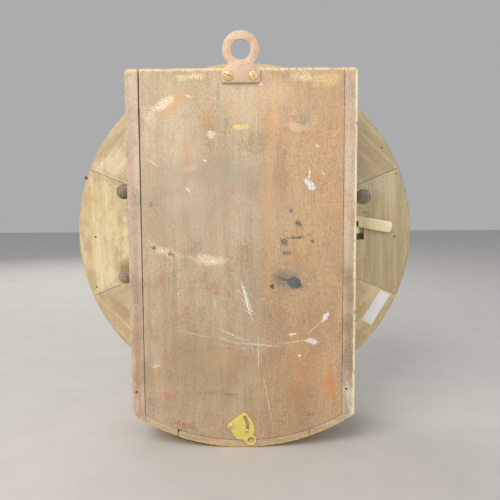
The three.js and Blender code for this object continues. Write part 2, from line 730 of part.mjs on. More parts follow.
function buildHangings() {
  const eye = circleShape(EYE_RADIUS, [0, EYE_HEIGHT]);
  const neckTop = EYE_HEIGHT - Math.sqrt(EYE_RADIUS ** 2 - (PLATE_NECK - 1) ** 2);
  const tail = new THREE.Shape();
  tail.moveTo(-PLATE_NECK + 1, EYE_HEIGHT);
  tail.lineTo(-PLATE_NECK + 1, neckTop);
  tail.quadraticCurveTo(-PLATE_NECK, PLATE_FOOT_TOP + 1, -PLATE_FOOT, PLATE_FOOT_TOP - 1);
  tail.lineTo(-PLATE_FOOT, PLATE_FOOT_LOW);
  tail.lineTo(PLATE_FOOT, PLATE_FOOT_LOW);
  tail.lineTo(PLATE_FOOT, PLATE_FOOT_TOP - 1);
  tail.quadraticCurveTo(PLATE_NECK, PLATE_FOOT_TOP + 1, PLATE_NECK - 1, neckTop);
  tail.lineTo(PLATE_NECK - 1, EYE_HEIGHT);
  const plate = join(prism(eye, PLATE_THICKNESS, 0, 10), prism(tail, PLATE_THICKNESS, 0, 4));
  const screws = [-1, 1].map((sign) => [sign * HANG_SCREW_X, HANG_SCREW_Z]);
  const holes = screws.map((at) => axle(SCREW_SHANK + HOLE_FIT, -1, PLATE_THICKNESS + 1, at, 8));
  const eyeHole = prism(circleShape(EYE_HOLE, [0, EYE_HEIGHT]), PLATE_THICKNESS + 1, -1, 8);
  place("hanging_plate", cut(plate, eyeHole, ...holes), "iron");
  place("hanging_screw_left", screw(screws[0], PLATE_THICKNESS, SCREW_HEAD, SCREW_SHANK), "iron");
  place("hanging_screw_right", screw(screws[1], PLATE_THICKNESS, SCREW_HEAD, SCREW_SHANK), "iron");
}

// Slot that follows an arc and has round ends, angles in degrees
function curvedSlot(centre, radius, half, from, to) {
  const arc = (about, r, a, b, steps) =>
    Array.from({ length: steps + 1 }, (_, i) => polar(r, a + ((b - a) * i) / steps, about));
  const points = [
    ...arc(centre, radius + half, from, to, 6).slice(0, -1),
    ...arc(polar(radius, to, centre), half, to, to + 180, 5).slice(0, -1),
    ...arc(centre, radius - half, to, from, 6).slice(0, -1),
    ...arc(polar(radius, from, centre), half, from + 180, from + 360, 5).slice(0, -1),
  ];
  return shapeOf(points);
}

// Steady plate: a brass cam that turns down on its pivot screw until its eye hangs below the box
function buildSteadyPlate() {
  const [px, pz] = STEADY_PIVOT;
  const [ex, ez] = STEADY_EYE;
  const outline = new THREE.Shape();
  outline.absarc(px, pz, 4.7, 0, radians(110), false);
  outline.lineTo(px - 13.3, pz + 12.9);
  outline.quadraticCurveTo(px - 18.1, pz + 9.7, px - 21.4, pz + 1.4);
  outline.quadraticCurveTo(px - 23.6, pz - 3.3, ...polar(STEADY_EYE_RADIUS, 115, STEADY_EYE));
  outline.absarc(ex, ez, STEADY_EYE_RADIUS, radians(115), radians(300), false);
  outline.quadraticCurveTo(px - 8.6, pz - 15.3, px - 4.6, pz - 12.3);
  outline.quadraticCurveTo(px + 1.9, pz - 6.3, px + 4.7, pz);
  const slot = curvedSlot(STEADY_PIVOT, STEADY_SLOT_RADIUS, STEADY_SLOT, STEADY_SLOT_FROM, STEADY_SLOT_TO);
  const plate = cut(
    prism(outline, STEADY_THICKNESS + 0.1, 0.1, 4),
    prism(circleShape(STEADY_EYE_HOLE, STEADY_EYE), 4, -1, 6),
    prism(circleShape(SCREW_SHANK + HOLE_FIT, STEADY_PIVOT), 4, -1, 5),
    prism(slot, 4, -1, 5),
  );
  place("steady_plate", plate, "brass");
  const seat = STEADY_THICKNESS + 0.3;
  place("steady_pivot_screw", screw(STEADY_PIVOT, seat, STEADY_PIVOT_HEAD, SCREW_SHANK - 0.2), "brass");
  place("steady_guide_screw", screw(STEADY_GUIDE, seat, STEADY_GUIDE_HEAD, STEADY_SLOT - 0.4), "iron");
}

// Bezel catch: a bent brass strip on a screw, with a tongue through the surround to the bezel's keeper
function buildCatch() {
  const face = BACK_OF_SURROUND + GAP;
  const top = face + CATCH_THICKNESS;
  const strip = shapeOf([
    [CATCH_TAIL, face],
    [-CATCH_BEND_FROM, face],
    [-CATCH_BEND_TO, face + CATCH_STEP],
    [-CATCH_LENGTH, face + CATCH_STEP],
    [-CATCH_LENGTH, top + CATCH_STEP],
    [-CATCH_BEND_TO, top + CATCH_STEP],
    [-CATCH_BEND_FROM, top],
    [CATCH_TAIL, top],
  ]);
  const outline = shapeOf([
    [CATCH_TAIL, -CATCH_HALF_WIDTH],
    [CATCH_TAIL, CATCH_HALF_WIDTH],
    [-CATCH_LENGTH + 4, CATCH_HALF_WIDTH],
    [-CATCH_LENGTH, CATCH_HALF_WIDTH - 4.6],
    [-CATCH_LENGTH + 1, -CATCH_HALF_WIDTH + 1],
    [-CATCH_LENGTH + 3, -CATCH_HALF_WIDTH],
  ]);
  const bent = column(strip, -CATCH_HALF_WIDTH * 2, CATCH_HALF_WIDTH * 2)
    .intersect(prism(outline, 0, 2 * BACK_OF_SURROUND))
    .rotate([0, CATCH_SLOPE, 0])
    .translate([CATCH_PIVOT[0], 0, CATCH_PIVOT[1]]);
  const footBack = SEAT_Y + KEEPER_DEPTH - KEEPER_METAL - GAP;
  const lever = join(
    bent,
    block(TONGUE_X, [face, top], [TONGUE_Z[0], CATCH_PIVOT[1] - 2]),
    block(TONGUE_X, [top, footBack - TONGUE_THICKNESS], TONGUE_Z),
    block([TONGUE_FOOT_TIP, TONGUE_X[1]], [footBack, footBack - TONGUE_THICKNESS], TONGUE_Z),
  );
  place(
    "bezel_catch",
    cut(lever, axle(CATCH_SCREW + HOLE_FIT, 2 * BACK_OF_SURROUND, 0, CATCH_PIVOT, 12)),
    "brass",
  );
  const head = turned(
    [
      [0, BACK_OF_SURROUND - 8],
      [CATCH_SCREW, BACK_OF_SURROUND - 8],
      [CATCH_SCREW, top + GAP],
      [CATCH_SCREW_HEAD, top + GAP],
      [CATCH_SCREW_HEAD * 0.9, top + GAP + 1.2],
      [0, top + GAP + 1.8],
    ],
    12,
    "y",
    [CATCH_PIVOT[0], 0, CATCH_PIVOT[1]],
  );
  place("bezel_catch_screw", head, "steel");
}

function buildBezel() {
  const seat = SEAT_Y - GAP;
  const front = seat - BEZEL_HEIGHT;
  const glassBack = seat - GLASS_EDGE_HEIGHT;
  const glassFront = glassBack - GLASS_THICKNESS;
  const lip = glassFront - GAP;
  const ring = turned(
    [
      [BEZEL_BORE, seat],
      [BEZEL_BORE, lip],
      [BEZEL_LIP, lip],
      [BEZEL_LIP + 0.6, front + 1.6],
      [BEZEL_LIP + 6, front],
      [BEZEL_LIP + 14, front + 2],
      [BEZEL_RADIUS - 2.5, front + 7.5],
      [BEZEL_RADIUS, front + 13],
      [BEZEL_RADIUS, seat],
      [BEZEL_BORE, seat],
    ],
    BEZEL_STEPS,
  );
  const axisY = seat - BEZEL_HINGE_HEIGHT;
  const knuckle = (z0, z1) =>
    join(
      rod(BEZEL_KNUCKLE, z0, z1, "z", [BEZEL_HINGE_X, axisY, 0], 12),
      block([BEZEL_RADIUS - 4.5, BEZEL_HINGE_X], [axisY - 1, axisY + 1], [z0, z1]),
    );
  const bore = rod(
    BEZEL_PIN + HOLE_FIT,
    -BEZEL_HINGE_HALF - 1,
    BEZEL_HINGE_HALF + 1,
    "z",
    [BEZEL_HINGE_X, axisY, 0],
    10,
  );
  const keeper = join(
    block(KEEPER_X, [seat - 3, SEAT_Y + KEEPER_DEPTH], KEEPER_Z),
    block(
      [KEEPER_X[0], KEEPER_TOE_TIP],
      [SEAT_Y + KEEPER_DEPTH - KEEPER_METAL, SEAT_Y + KEEPER_DEPTH],
      KEEPER_Z,
    ),
  );
  const high = BEZEL_KNUCKLE_HALF + GAP;
  place(
    "bezel_ring",
    cut(
      join(ring, knuckle(high, BEZEL_HINGE_HALF), knuckle(-BEZEL_HINGE_HALF, -high), keeper),
      bore,
    ),
    "brass",
  );

  const leaf = join(
    rod(BEZEL_KNUCKLE, -BEZEL_KNUCKLE_HALF, BEZEL_KNUCKLE_HALF, "z", [BEZEL_HINGE_X, axisY, 0], 12),
    rod(BEZEL_PIN, -BEZEL_HINGE_HALF, BEZEL_HINGE_HALF, "z", [BEZEL_HINGE_X, axisY, 0], 10),
    block(
      [BEZEL_HINGE_X, BEZEL_HINGE_X + 7],
      [BACK_OF_SURROUND - SURROUND_THICKNESS - GAP, axisY + 1.2],
      [-BEZEL_KNUCKLE_HALF, BEZEL_KNUCKLE_HALF],
    ),
  );
  place("bezel_hinge", leaf, "brass");

  const steps = 3;
  const glass = [];
  const rim = BEZEL_BORE - GAP - 0.3;
  const sphere = (rim ** 2 + GLASS_DOME ** 2) / (2 * GLASS_DOME);
  const dome = (r) => Math.sqrt(sphere ** 2 - r ** 2) - (sphere - GLASS_DOME);
  for (let i = 0; i <= steps; i++) {
    const r = (rim * i) / steps;
    glass.push([r, glassFront - dome(r) + (i === steps ? 0.01 : 0)]);
  }
  for (let i = steps; i >= 0; i--) {
    const r = (rim * i) / steps;
    glass.push([r, glassBack - dome(r)]);
  }
  place("bezel_glass", turned(glass, BEZEL_STEPS), "glass");

  const sight = turned(
    [
      [SIGHT_BORE, DIAL_FACE - GAP],
      [SIGHT_BORE + 1.4, DIAL_FACE - GAP],
      [BEZEL_BORE - GAP, glassBack + 2],
      [BEZEL_BORE - GAP, glassBack + GAP],
      [BEZEL_BORE - 1.6, glassBack + GAP],
      [SIGHT_BORE, DIAL_FACE - GAP - 1.2],
      [SIGHT_BORE, DIAL_FACE - GAP],
    ],
    SIGHT_STEPS,
  );
  place("sight_ring", sight, "brass");
}

function buildDial() {
  const disc = prism(circleShape(DIAL_RADIUS), RECESS_Y, DIAL_FACE, 20);
  const feet = DIAL_FEET.map((at) =>
    axle(DIAL_FOOT_RADIUS, RECESS_Y - 0.5, FRONT_PLATE_FRONT, at, 10),
  );
  place(
    "dial_plate",
    cut(
      join(disc, ...feet),
      prism(circleShape(DIAL_HOLE), 0, 2 * RECESS_Y, 6),
      prism(circleShape(WINDING_HOLE, FUSEE), 0, 2 * RECESS_Y, 6),
    ),
    "enamel",
  );
}

// Spade hand pointing up: a boss, a tapered stem, the spade and its point
function handShape(boss, stem, length, spade, spadeAt) {
  const shape = new THREE.Shape();
  const shoulder = Math.sqrt(boss ** 2 - stem ** 2);
  shape.absarc(0, 0, boss, Math.PI / 2 + Math.asin(stem / boss), Math.PI / 2 - Math.asin(stem / boss), false);
  shape.lineTo(stem * 0.75, spadeAt - spade);
  shape.quadraticCurveTo(spade * 1.1, spadeAt - spade * 0.9, spade, spadeAt);
  shape.quadraticCurveTo(spade * 0.7, spadeAt + spade * 0.8, stem * 0.7, spadeAt + spade * 1.3);
  shape.lineTo(0.4, length);
  shape.lineTo(-0.4, length);
  shape.lineTo(-stem * 0.7, spadeAt + spade * 1.3);
  shape.quadraticCurveTo(-spade * 0.7, spadeAt + spade * 0.8, -spade, spadeAt);
  shape.quadraticCurveTo(-spade * 1.1, spadeAt - spade * 0.9, -stem * 0.75, spadeAt - spade);
  shape.lineTo(-stem, shoulder);
  return shape;
}

function buildHands() {
  const hour = cut(
    prism(handShape(9, 3, HOUR_HAND_LENGTH, 9, 66), HOUR_HAND_BACK, HOUR_HAND_BACK - HAND_THICKNESS, 4),
    axle(HOUR_PIPE + HOLE_FIT - 1, 3 * RECESS_Y, 0, CENTRE, 16),
  ).rotate([0, HOUR_ANGLE, 0]);
  place("hour_hand", hour, "blued");
  const minute = cut(
    prism(
      handShape(6.5, 2.2, MINUTE_HAND_LENGTH, 6, 104),
      MINUTE_HAND_BACK,
      MINUTE_HAND_BACK - HAND_THICKNESS,
      4,
    ),
    axle(CANNON_PIPE + HOLE_FIT - 0.8, 3 * RECESS_Y, 0, CENTRE, 16),
  ).rotate([0, MINUTE_ANGLE, 0]);
  place("minute_hand", minute, "blued");
}

function knobProfile(height) {
  return [
    [0, 0],
    [3.2, 0],
    [2.6, 2.2],
    [KNOB_RADIUS * 0.8, height * 0.45],
    [KNOB_RADIUS, height * 0.65],
    [KNOB_RADIUS * 0.75, height * 0.92],
    [0, height],
  ];
}

function buildDoors() {
  const [hx, hy] = SIDE_HINGE;
  const half = SIDE_DOOR_THICKNESS / 2;
  const door = new THREE.Shape();
  door.absarc(hx, hy, half, 0, Math.PI, false);
  door.lineTo(hx - half, SIDE_DOOR_FRONT);
  door.lineTo(hx + half, SIDE_DOOR_FRONT);
  const knobAt = [CASE_HALF_WIDTH, SIDE_DOOR_FRONT + KNOB_INSET, SIDE_HINGE_Z];
  const shaft = rod(KNOB_SHAFT + HOLE_FIT, -SIDE_DOOR_THICKNESS - 2, 2, "x", knobAt, 10);
  place(
    "side_door",
    cut(column(door, SIDE_DOOR_LOW, SIDE_DOOR_HIGH, 4), atSideHinge(hingeNotch(SIDE_KNUCKLE)), shaft),
    "mahogany",
  );
  place("side_door_hinge", atSideHinge(hinge(SIDE_KNUCKLE)), "brass");

  const tongueBack = SIDE_INNER - GAP;
  const knob = join(
    turned(knobProfile(KNOB_HEIGHT), 12, "x", [knobAt[0] + GAP, knobAt[1], knobAt[2]]),
    rod(KNOB_SHAFT, -SIDE_THICKNESS - 1, 2, "x", knobAt, 10),
    block(
      [tongueBack - 1.8, tongueBack],
      [knobAt[1] - BUTTON_HALF_WIDTH, knobAt[1] + BUTTON_HALF_WIDTH],
      [knobAt[2] - BUTTON_HALF_WIDTH, knobAt[2] + BUTTON_LENGTH],
    ),
  );
  place("side_door_knob", knob, "brass");

  const inner = FOOT_RADIUS - FOOT_THICKNESS;
  const band = prism(
    footBand(DOOR_FIT - FOOT_BOARD_FROM, FOOT_DOOR_HALF_WIDTH, inner, FOOT_RADIUS),
    0,
    BACK_OF_SURROUND + DOOR_FIT,
    6,
  );
  const end = prism(circleShape(FOOT_THICKNESS / 2, FOOT_HINGE), 0, BACK_OF_SURROUND + DOOR_FIT, 5);
  place(
    "foot_door",
    cut(join(band, end), atFootHinge(hingeNotch(FOOT_KNUCKLE))),
    "mahogany",
  );
  place("foot_door_hinge", atFootHinge(hinge(FOOT_KNUCKLE)), "brass");

  const button = new THREE.Shape();
  const reach = BUTTON_LENGTH - BUTTON_HALF_WIDTH;
  button.absarc(0, 0, BUTTON_HALF_WIDTH, Math.PI, 2 * Math.PI, false);
  button.absarc(0, reach, BUTTON_HALF_WIDTH * 0.8, 0, Math.PI, false);
  const body = join(
    column(button, -GAP - BUTTON_THICKNESS, -GAP, 5),
    rod(BUTTON_SCREW, -GAP - 1, BUTTON_SCREW_LENGTH, "z", [0, 0, 0], 8),
  );
  place("foot_door_button", atButton(body), "brass");
}

// Toothed wheel outline, its first tooth pointing along +X
function gearShape(teeth, module, tooth) {
  const pitch = (2 * Math.PI) / teeth;
  const radius = (module * teeth) / 2;
  const points = [];
  for (let i = 0; i < teeth; i++) {
    for (const [share, height] of tooth) {
      const r = radius + height * module;
      const angle = (i + share) * pitch;
      points.push([r * Math.cos(angle), r * Math.sin(angle)]);
    }
  }
  return shapeOf(points);
}

const atArbor = (body, [x, z]) => body.translate([x, 0, z]);

function wheel(teeth, module, yBack, metal, tooth, spokes = 0, hub = 6) {
  const shape = gearShape(teeth, module, tooth);
  const rim = (module * teeth) / 2 - 1.25 * module - 2.2;
  for (let i = 0; i < spokes; i++) {
    const from = (2 * Math.PI * i) / spokes;
    const to = (2 * Math.PI * (i + 1)) / spokes;
    const hole = new THREE.Path();
    const outerTrim = 1.3 / rim;
    const innerTrim = 1.3 / hub;
    hole.absarc(0, 0, rim, from + outerTrim, to - outerTrim, false);
    hole.absarc(0, 0, hub, to - innerTrim, from + innerTrim, true);
    shape.holes.push(hole);
  }
  return prism(shape, yBack, yBack - metal, 2);
}

// Arbor with a pivot at each end, running through both plates
function arbor(radius, extraFront = 0, extraBack = 0) {
  return turned(
    [
      [0, FRONT_PLATE_FRONT - extraFront],
      [PIVOT, FRONT_PLATE_FRONT - extraFront],
      [PIVOT, FRONT_PLATE_BACK + GAP],
      [radius, FRONT_PLATE_BACK + GAP],
      [radius, BACK_PLATE_FRONT - GAP],
      [PIVOT, BACK_PLATE_FRONT - GAP],
      [PIVOT, BACK_PLATE_BACK + extraBack],
      [0, BACK_PLATE_BACK + extraBack],
    ],
    10,
  );
}

// Turn that puts a tooth of one wheel into a gap of the other, degrees, for a wheel whose first
// tooth points along +X and whose neighbour lies in the given direction
function meshTurn(teeth, direction, driverTeeth, driverTurn, driverDirection = direction) {
  const driverPitch = 360 / driverTeeth;
  const phase = (driverDirection - driverTurn) / driverPitch;
  const offset = phase - Math.floor(phase);
  const pitch = 360 / teeth;
  return direction + 180 + (offset + 0.5) * pitch;
}

const turnBody = (body, degrees) => body.rotate([0, -degrees, 0]);

function buildPlates() {
  const outline = () =>
    shapeOf([
      [-PLATES_HALF_WIDTH, PLATES_LOW],
      [PLATES_HALF_WIDTH, PLATES_LOW],
      [PLATES_HALF_WIDTH, PLATES_HIGH],
      [-PLATES_HALF_WIDTH, PLATES_HIGH],
    ]);
  const hole = (radius, at, steps = 10) => axle(radius + RUN, 2 * RECESS_Y, 0, at, steps);
  const stud = axle(MINUTE_STUD, MOTION_STUD_END, FRONT_PLATE_FRONT + 0.5, MINUTE_WHEEL, 10);
  const front = join(
    cut(
      prism(outline(), FRONT_PLATE_BACK, FRONT_PLATE_FRONT),
      hole(ARBOR, CENTRE),
      hole(FUSEE_ARBOR, FUSEE, 14),
      hole(PIVOT, THIRD),
      hole(PIVOT, ESCAPE),
      hole(PIVOT, PALLETS),
      axle(BARREL_ARBOR + HOLE_FIT, 2 * RECESS_Y, 0, BARREL, 14),
      ...PILLARS.map((at) => axle(PILLAR_TENON + HOLE_FIT, 2 * RECESS_Y, 0, at, 10)),
    ),
    stud,
  );
  place("front_plate", front, "brass");
  const pillar = turned(
    [
      [0, FRONT_PLATE_FRONT - PILLAR_TENON_OUT],
      [PILLAR_TENON, FRONT_PLATE_FRONT - PILLAR_TENON_OUT],
      [PILLAR_TENON, FRONT_PLATE_BACK],
      [PILLAR_RADIUS, FRONT_PLATE_BACK],
      [PILLAR_RADIUS - 1.6, FRONT_PLATE_BACK + 8],
      [PILLAR_RADIUS - 1.6, BACK_PLATE_FRONT - 8],
      [PILLAR_RADIUS, BACK_PLATE_FRONT + 0.5],
      [0, BACK_PLATE_FRONT + 0.5],
    ],
    8,
  );
  const back = join(
    cut(
      prism(outline(), BACK_PLATE_BACK, BACK_PLATE_FRONT),
      hole(PIVOT, CENTRE),
      hole(PIVOT, FUSEE),
      hole(PIVOT, THIRD),
      hole(PIVOT, ESCAPE),
      hole(3.5, PALLETS, 12),
      axle(BARREL_ARBOR + HOLE_FIT, 2 * RECESS_Y, 0, BARREL, 14),
    ),
    ...PILLARS.map((at) => atArbor(pillar, at)),
  );
  place("back_plate", back, "brass");
}

// Fusee: a cone whose flanks follow the spring's fading pull, with a spiral groove for the line
function fuseeCone(yFront, yBack) {
  const rows = FUSEE_TURNS * 4;
  const start = yFront + 2;
  const end = start + FUSEE_TURNS * FUSEE_PITCH;
  const radiusAt = (t) => 1 / (1 / FUSEE_LARGE + (1 / FUSEE_SMALL - 1 / FUSEE_LARGE) * t);
  const points = [new THREE.Vector2(0, yFront), new THREE.Vector2(FUSEE_LARGE + 1, yFront)];
  for (let i = 0; i <= rows; i++) {
    const t = i / rows;
    points.push(new THREE.Vector2(radiusAt(t), start + t * (end - start)));
  }
  points.push(new THREE.Vector2(FUSEE_SMALL, yBack), new THREE.Vector2(0, yBack));
  const geometry = new THREE.LatheGeometry(points, 18);
  const position = geometry.attributes.position;
  for (let i = 0; i < position.count; i++) {
    const [x, y, z] = [position.getX(i), position.getY(i), position.getZ(i)];
    if (y <= start || y >= end - 0.01) continue;
    const turn = Math.atan2(z, x) / (2 * Math.PI);
    const phase = (y - start) / FUSEE_PITCH + turn;
    const depth = (FUSEE_GROOVE * (1 - Math.cos(2 * Math.PI * phase))) / 2;
    const scale = 1 - depth / Math.hypot(x, z);
    position.setXYZ(i, x * scale, y, z * scale);
  }
  return solid(geometry);
}

function buildGoingTrain() {
  const at = (distance) => BACK_PLATE_FRONT - distance;
  const greatBack = at(GREAT_WHEEL_AT);
  const greatFront = greatBack - GREAT_METAL;
  const centreBack = at(CENTRE_WHEEL_AT);
  const thirdBack = at(THIRD_WHEEL_AT);
  const escapeBack = at(ESCAPE_WHEEL_AT);

  // Great wheel and fusee
  const great = cut(
    wheel(GREAT_TEETH, GREAT_MODULE, greatBack, GREAT_METAL, WHEEL_TOOTH),
    axle(FUSEE_ARBOR + RUN, 2 * RECESS_Y, 0, CENTRE, 14),
  );
  place("great_wheel", atArbor(great, FUSEE), "brass");
  const square = WINDING_SQUARE / 2;
  const coneFront = greatBack + GAP;
  const coneBack = coneFront + FUSEE_TURNS * FUSEE_PITCH + 3;
  const fusee = join(
    fuseeCone(coneFront, coneBack),
    axle(FUSEE_ARBOR, FRONT_PLATE_FRONT - 0.5, BACK_PLATE_FRONT - GAP, CENTRE, 14),
    axle(PIVOT, BACK_PLATE_FRONT - 1, BACK_PLATE_BACK, CENTRE, 10),
    block([-square, square], [WINDING_END, FRONT_PLATE_FRONT], [-square, square]),
  );
  place("fusee", atArbor(fusee, FUSEE), "brass");

  // Barrel on its arbor
  const barrelBack = at(BARREL_BEHIND);
  const barrelFront = barrelBack - BARREL_LENGTH;
  const drum = turned(
    [
      [BARREL_ARBOR + RUN, barrelFront],
      [BARREL_RADIUS, barrelFront],
      [BARREL_RADIUS, barrelFront + 1.5],
      [BARREL_RADIUS - 0.8, barrelFront + 2],
      [BARREL_RADIUS - 0.8, barrelBack - 2],
      [BARREL_RADIUS, barrelBack - 1.5],
      [BARREL_RADIUS, barrelBack],
      [BARREL_ARBOR + RUN, barrelBack],
      [BARREL_ARBOR + RUN, barrelFront],
    ],
    24,
  );
  place("spring_barrel", atArbor(drum, BARREL), "brass");
  place(
    "barrel_arbor",
    axle(BARREL_ARBOR, FRONT_PLATE_FRONT - 4, BACK_PLATE_BACK + 1, BARREL, 14),
    "steel",
  );

  // Centre arbor with its pinion, and the centre wheel
  const greatTurn = 0;
  const centrePinionTurn = meshTurn(
    CENTRE_LEAVES,
    FUSEE_DIRECTION + 180,
    GREAT_TEETH,
    greatTurn,
    FUSEE_DIRECTION + 180,
  );
  const pinionBand = (module, leaves, yBack, metal) =>
    prism(gearShape(leaves, module, LEAF_TOOTH), yBack + PINION_SPARE, yBack - metal - PINION_SPARE);
  const centreArbor = join(
    axle(ARBOR, CENTRE_END, BACK_PLATE_FRONT - GAP, CENTRE, 12),
    axle(PIVOT, BACK_PLATE_FRONT - 1, BACK_PLATE_BACK, CENTRE, 10),
    turnBody(pinionBand(GREAT_MODULE, CENTRE_LEAVES, greatBack, GREAT_METAL), centrePinionTurn),
  );
  place("centre_arbor", centreArbor, "steel");
  const centreWheel = cut(
    wheel(CENTRE_TEETH, CENTRE_MODULE, centreBack, WHEEL_METAL, WHEEL_TOOTH, 4),
    axle(ARBOR + HOLE_FIT, 2 * RECESS_Y, 0, CENTRE, 12),
  );
  place("centre_wheel", centreWheel, "brass");

  // Third wheel and pinion
  const thirdTurn = meshTurn(THIRD_LEAVES, THIRD_DIRECTION, CENTRE_TEETH, 0);
  const third = turnBody(
    join(
      arbor(THIN_ARBOR),
      pinionBand(CENTRE_MODULE, THIRD_LEAVES, centreBack, WHEEL_METAL),
      wheel(THIRD_TEETH, THIRD_MODULE, thirdBack, WHEEL_METAL, WHEEL_TOOTH, 4, 5),
    ),
    thirdTurn,
  );
  place("third_wheel", atArbor(third, THIRD), "brass");

  // Escape wheel and pinion
  const escapeDirection =
    (Math.atan2(ESCAPE[1] - THIRD[1], ESCAPE[0] - THIRD[0]) * 180) / Math.PI;
  const escapeTurn = meshTurn(ESCAPE_LEAVES, escapeDirection, THIRD_TEETH, thirdTurn);
  const wheelShape = new THREE.Shape();
  const pitch = (2 * Math.PI) / ESCAPE_TEETH;
  const points = [];
  for (let i = 0; i < ESCAPE_TEETH; i++) {
    const angle = i * pitch;
    points.push(
      [ESCAPE_RADIUS * Math.cos(angle), ESCAPE_RADIUS * Math.sin(angle)],
      [ESCAPE_RADIUS * Math.cos(angle + 0.03), ESCAPE_RADIUS * Math.sin(angle + 0.03)],
      [ESCAPE_ROOT * Math.cos(angle + 0.7 * pitch), ESCAPE_ROOT * Math.sin(angle + 0.7 * pitch)],
    );
  }
  wheelShape.setFromPoints(points.map(([x, z]) => new THREE.Vector2(x, z)));
  for (let i = 0; i < 4; i++) {
    const from = (Math.PI / 2) * i;
    const hole = new THREE.Path();
    hole.absarc(0, 0, ESCAPE_ROOT - 1.8, from + 0.12, from + Math.PI / 2 - 0.12, false);
    hole.absarc(0, 0, 4.2, from + Math.PI / 2 - 0.3, from + 0.3, true);
    wheelShape.holes.push(hole);
  }
  const escape = turnBody(
    join(
      arbor(THIN_ARBOR),
      pinionBand(THIRD_MODULE, ESCAPE_LEAVES, thirdBack, WHEEL_METAL),
      prism(wheelShape, escapeBack, escapeBack - ESCAPE_METAL, 3),
    ),
    escapeTurn,
  );
  place("escape_wheel", atArbor(escape, ESCAPE), "brass");
}

function buildMotionWork() {
  const cannonBack = FRONT_PLATE_FRONT - CANNON_AT;
  const cannon = cut(
    join(
      prism(gearShape(CANNON_TEETH, MOTION_MODULE, MOTION_TOOTH), cannonBack, cannonBack - CANNON_METAL),
      axle(CANNON_PIPE, HOUR_HAND_BACK - HANDS_APART + GAP, cannonBack, CENTRE, 16),
      axle(CANNON_PIPE - 0.8, MINUTE_HAND_BACK - HAND_THICKNESS - 0.8, cannonBack, CENTRE, 16),
    ),
    axle(ARBOR + 0.05, 3 * RECESS_Y, 0, CENTRE, 12),
  );
  place("cannon_pinion", cannon, "steel");

  const minuteTurn = meshTurn(MINUTE_TEETH, MINUTE_WHEEL_DIRECTION, CANNON_TEETH, 0);
  const hourBack = FRONT_PLATE_FRONT - HOUR_WHEEL_AT;
  const hourFront = hourBack - HOUR_METAL;
  const minute = turnBody(
    cut(
      join(
        prism(gearShape(MINUTE_TEETH, MOTION_MODULE, MOTION_TOOTH), cannonBack, cannonBack - CANNON_METAL),
        prism(gearShape(MINUTE_LEAVES, HOUR_MODULE, LEAF_TOOTH), cannonBack, hourFront - 1),
      ),
      axle(MINUTE_STUD + RUN, 2 * RECESS_Y, 0, CENTRE, 10),
    ),
    minuteTurn,
  );
  place("minute_wheel", atArbor(minute, MINUTE_WHEEL), "brass");

  const hourTurn = meshTurn(
    HOUR_TEETH,
    MINUTE_WHEEL_DIRECTION + 180,
    MINUTE_LEAVES,
    minuteTurn,
  );
  const hour = cut(
    join(
      turnBody(
        prism(gearShape(HOUR_TEETH, HOUR_MODULE, WHEEL_TOOTH), hourBack, hourFront),
        hourTurn,
      ),
      axle(HOUR_PIPE, HOUR_HAND_BACK + GAP, hourBack, CENTRE, 16),
      axle(HOUR_PIPE - 1, HOUR_HAND_BACK - HAND_THICKNESS - 0.5, hourBack, CENTRE, 16),
    ),
    axle(CANNON_PIPE + RUN - 0.1, 3 * RECESS_Y, 0, CENTRE, 16),
  );
  place("hour_wheel", hour, "brass");
}

